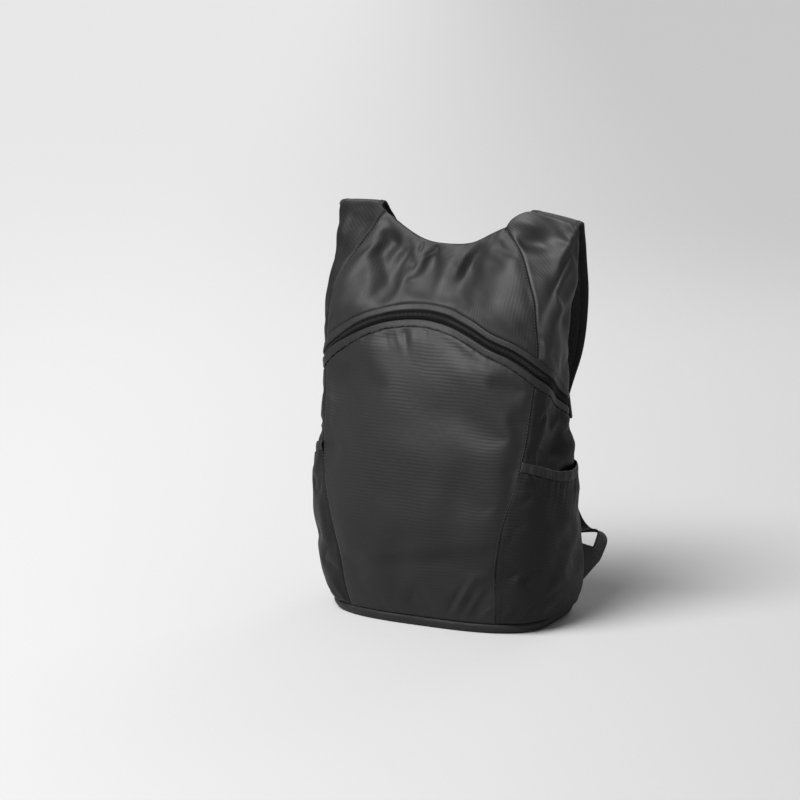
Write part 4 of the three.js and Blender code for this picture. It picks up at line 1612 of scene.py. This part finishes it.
@dataclass
class Straps:
    """Padded shoulder straps, their webbing, locks and wings."""

    strap_rows: int = 13
    webbing_rows: int = 12
    root_reach: float = 26.0
    root_share: float = 0.4
    root_sink: float = 2.6
    root_narrow: float = 9.5
    narrow_from: float = 32.0
    widen_from: float = 45.0
    narrow_to: float = 95.0
    bound: float = 0.105
    bar_places: tuple = (-0.42, -0.08, 0.4)
    bar_wide: float = 3.6
    rail_wide: float = 3.4
    wing_seam: Seam = Seam(depth=0.7, width=1.2, pucker=0.35, reach=5.0, gap=3.0, seed=101)

    def build(self) -> None:
        """Builds both straps."""
        mesh_cloth = StrapMeshFinish("strap mesh").material()
        binding = WebbingFinish("binding tape", shade=0.011, pitch=1.0, height=0.05).material()
        web = WebbingFinish("webbing").material()
        nylon = NylonFinish("wing nylon", shade=0.012, specular=0.3).material()
        plastic = PlasticFinish("lock plastic").material()
        thread = YarnFinish("strap thread", shade=0.013).material()
        for tag in SIDES:
            stitching = Stitching()
            self.strap(tag, mesh_cloth, binding, stitching)
            self.webbing(tag, web)
            self.lock(tag, plastic)
            self.wing(tag, nylon, stitching)
            dress(stitching.made("strap_stitches_" + tag), thread, "webbing")

    def rails(self, solid: Solid, columns: int, rows: int, cell: float) -> Rails:
        """Reads a flat band's rails from its solid.

        Args:
            solid: The band's solid.
            columns: The steps across each face.
            rows: The steps along it.
            cell: The spacing along the band.

        Returns:
            The rails, from the band's foot.
        """
        outer = solid.sheet(columns, rows).points
        inner = solid.sheet(columns, rows, False).points[::-1]
        centre = (outer.mean(0) + inner.mean(0)) / 2
        side = (outer[-1] - outer[0] + inner[-1] - inner[0]) / 2
        middle = outer.shape[0] // 2
        out = (outer[middle] + outer[-1 - middle] - inner[middle] - inner[-1 - middle]) / 2
        length = np.linalg.norm(np.diff(centre, axis=0), axis=1).sum()
        places = np.linspace(0, rows, max(int(length / cell), 8))
        weights = spline_weights(rows + 1, places)
        return Rails(weights @ centre, weights @ side, weights @ out)

    def strap(
        self,
        tag: str,
        mesh_cloth: bpy.types.Material,
        binding: bpy.types.Material,
        stitching: Stitching,
    ) -> None:
        """One padded strap with a tape bound round each edge, thin where it is sewn to the ear."""
        node = "shoulder_strap_" + tag
        rails = self.rails(Solid(node, 0.0, 48.0), 3, self.strap_rows, 2.0)
        steps = np.linalg.norm(np.diff(rails.centre[::-1], axis=0), axis=1)
        from_root = np.concatenate([[0], np.cumsum(steps)])[::-1, None]
        full = soft_step(from_root / self.root_reach)
        centre = rails.centre - np.array([0, 0, self.root_sink]) * (1 - full)
        thin = rails.out * (self.root_share + (1 - self.root_share) * full)
        inner = -1 if tag == "left" else 1
        narrow = soft_step(from_root / self.narrow_from)
        length = self.narrow_to - self.widen_from
        narrow = narrow * (1 - soft_step((from_root - self.widen_from) / length))
        lost = unit(rails.side) * self.root_narrow * narrow
        rails = Rails(centre - lost * (inner / 2), rails.side - lost, thin)
        upper = []
        for k in range(15):
            share = -1 + 2 * k / 14
            rise = (1 - abs(share) ** 5) * (0.75 + 0.25 * math.cos(share * math.pi / 2))
            upper.append((share / 2, rise + 0.02))
        piece = make_mesh("strap_cloth_" + tag, *rails.skin(section(upper)))
        dress(piece, mesh_cloth, "strap_mesh", node)
        for side, edge in (("inner", inner), ("outer", -inner)):
            wrap = ((0.5 - self.bound, 0.78), (0.42, 0.76), (0.45, 0.66), (0.48, 0.5), (0.5, 0.28))
            under = [(across - 0.012, height - 0.22) for across, height in wrap]
            ring = [(edge * across, height) for across, height in wrap]
            ring += [(edge * across, -height) for across, height in wrap[::-1]]
            ring += [(edge * across, -height) for across, height in under]
            ring += [(edge * across, height) for across, height in under[::-1]]
            made = make_mesh("strap_binding_" + side + "_" + tag, *rails.skin(ring))
            dress(made, binding, "webbing")
            for face in (-1, 1):
                line = rails.line(edge * (0.515 - self.bound), face * 0.8)
                stitching.sew(line, rails.out * face)

    def webbing(self, tag: str, web: bpy.types.Material) -> None:
        """One run of flat webbing from the wing to the lock."""
        node = "strap_webbing_" + tag
        rails = self.rails(Solid(node, 1.5), 1, self.webbing_rows, 1.6)
        half = 0.51
        upper = [(-half, 0.0), (0.008 - half, 0.7), (0.03 - half, 1.05), (-0.4, 0.9), (0, 0.9)]
        upper += [(-across, height) for across, height in upper[-2::-1]]
        piece = make_mesh("webbing_" + tag, *rails.skin(section(upper)))
        dress(piece, web, "webbing", node)

    def lock(self, tag: str, plastic: bpy.types.Material) -> None:
        """One ladder lock: two side rails and three cross bars over a thin plate."""
        node = "strap_lock_" + tag
        points = node_points(node)
        middle = (points.max(0) + points.min(0)) / 2
        across = np.array([1.0, 0.0, 0.0])
        below, above = points[:, 2] < middle[2], points[:, 2] > middle[2]
        foot, head = points[below].mean(0), points[above].mean(0)
        up = (head - foot) / np.linalg.norm(head - foot)
        out = np.cross(across, up)
        wide, tall, thick = (np.ptp(points @ axis) for axis in (across, up, out))
        ends = across * (wide / 2 - 1)
        places = [middle + up * (tall * share) for share in self.bar_places]
        half = up * (tall / 2)
        off = across * (wide / 2 - self.rail_wide / 2)
        runs = (
            ([p - ends for p in places], [p + ends for p in places], self.bar_wide, 0.7, 0.6),
            (
                [middle - off - half, middle + off - half],
                [middle - off + half, middle + off + half],
                self.rail_wide,
                0.96,
                0.6,
            ),
            ([middle - ends], [middle + ends], tall * 0.86, 0.34, 0.45),
        )
        bars = [
            spindles(
                np.array(starts),
                np.array(stops),
                np.tile(out, (len(starts), 1)),
                width,
                thick * share,
                BAR_RINGS,
                12,
                boxy,
            )
            for starts, stops, width, share, boxy in runs
        ]
        dress(make_mesh("lock_" + tag, *joined(bars), None), plastic, "plastic", node)

    def wing(self, tag: str, nylon: bpy.types.Material, stitching: Stitching) -> None:
        """One wing: doubled nylon with a sewn edge that holds the webbing."""
        node = "wing_tab_" + tag
        grid = Solid(node).sheet(1, 1).fine(1.6)
        gaps = grid.edge_gaps()
        across, along = grid.run(0), grid.run(1)
        push = sum(self.wing_seam.push(gap, along) for gap in gaps[:2])
        push += sum(self.wing_seam.push(gap, across) for gap in gaps[2:])
        grid = grid.pushed(push + 0.5)
        dress(make_mesh("wing_cloth_" + tag, *grid.thick(1.8)), nylon, "nylon", node)
        out = grid.normals()
        every, inset = slice(None), 5
        for line in ((every, inset), (every, -1 - inset), (inset, every), (-1 - inset, every)):
            stitching.sew(grid.points[line], out[line])


@dataclass
class Studio:
    """The pale floor, soft lights and the camera."""

    view: View = QUARTER_VIEW
    distance: float = 2700.0
    lens: float = 127.6
    shift: tuple = (-0.06, 0.01)
    floor_half: float = 90000.0
    world: float = 0.36
    sun: float = 5.8
    sun_angle: float = 35.0
    sun_from: tuple = (-0.24, -0.62, 0.83)
    soft_lights: tuple = (
        ("key", (-0.45, -1.5, 1.9), 0.7, 13.0),
        ("back", (0.2, 1.7, 1.3), 0.9, 7.0),
    )
    light_aim: tuple = (0.0, 0.0, 0.2)

    def build(self) -> None:
        """Sets the scene round the bag."""
        self.camera()
        self.floor()
        self.lights()

    def camera(self) -> None:
        """The camera at the photograph's angle."""
        data = bpy.data.cameras.new("camera")
        data.lens, data.sensor_width = self.lens, 36.0
        data.shift_x, data.shift_y = self.shift
        camera = bpy.data.objects.new("camera", data)
        back = Vector(self.view.back())
        camera.location = (Vector(self.view.middle) + back * self.distance) * MM
        camera.rotation_euler = back.to_track_quat("Z", "Y").to_euler()
        bpy.context.scene.collection.objects.link(camera)
        bpy.context.scene.camera = camera

    def floor(self) -> None:
        """A wide pale floor."""
        half = self.floor_half
        square = np.array([(-half, -half, 0), (half, -half, 0), (half, half, 0), (-half, half, 0)])
        floor = make_mesh("floor", square, np.array([[0, 1, 2, 3]]), None)
        floor.data.materials.append(FloorFinish("studio floor").material())

    def lights(self) -> None:
        """Two soft lights, a wide sun high on the left and a pale room."""
        scene = bpy.context.scene
        scene.view_settings.view_transform = "Standard"
        world = bpy.data.worlds.new("room")
        world.use_nodes = True
        background = world.node_tree.nodes["Background"]
        background.inputs["Color"].default_value = (1, 1, 1, 1)
        background.inputs["Strength"].default_value = self.world
        scene.world = world
        for light in self.soft_lights:
            self.soft_light(*light)
        data = bpy.data.lights.new("sun", "SUN")
        data.energy, data.angle = self.sun, math.radians(self.sun_angle)
        sun = bpy.data.objects.new("sun", data)
        sun.rotation_euler = Vector(self.sun_from).to_track_quat("Z", "Y").to_euler()
        scene.collection.objects.link(sun)

    def soft_light(self, name: str, place: tuple, size: float, power: float) -> None:
        """One square soft light that looks at the bag.

        Args:
            name: The light's name.
            place: Where it stands, in metres.
            size: Its width, in metres.
            power: Its power in watts.
        """
        data = bpy.data.lights.new(name, "AREA")
        data.size, data.energy = size, power
        light = bpy.data.objects.new(name, data)
        light.location = place
        toward = Vector(self.light_aim) - Vector(place)
        light.rotation_euler = toward.to_track_quat("-Z", "Y").to_euler()
        bpy.context.scene.collection.objects.link(light)


def main() -> None:
    """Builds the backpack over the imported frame."""
    logging.basicConfig(level=logging.INFO, format="%(name)s: %(message)s")
    FRAME.update(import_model())
    Studio().build()
    for part in (Body(), Zip(), SidePockets(), Straps()):
        part.build()
        LOG.info("%s built", type(part).__name__)


if __name__ == "__main__":
    main()
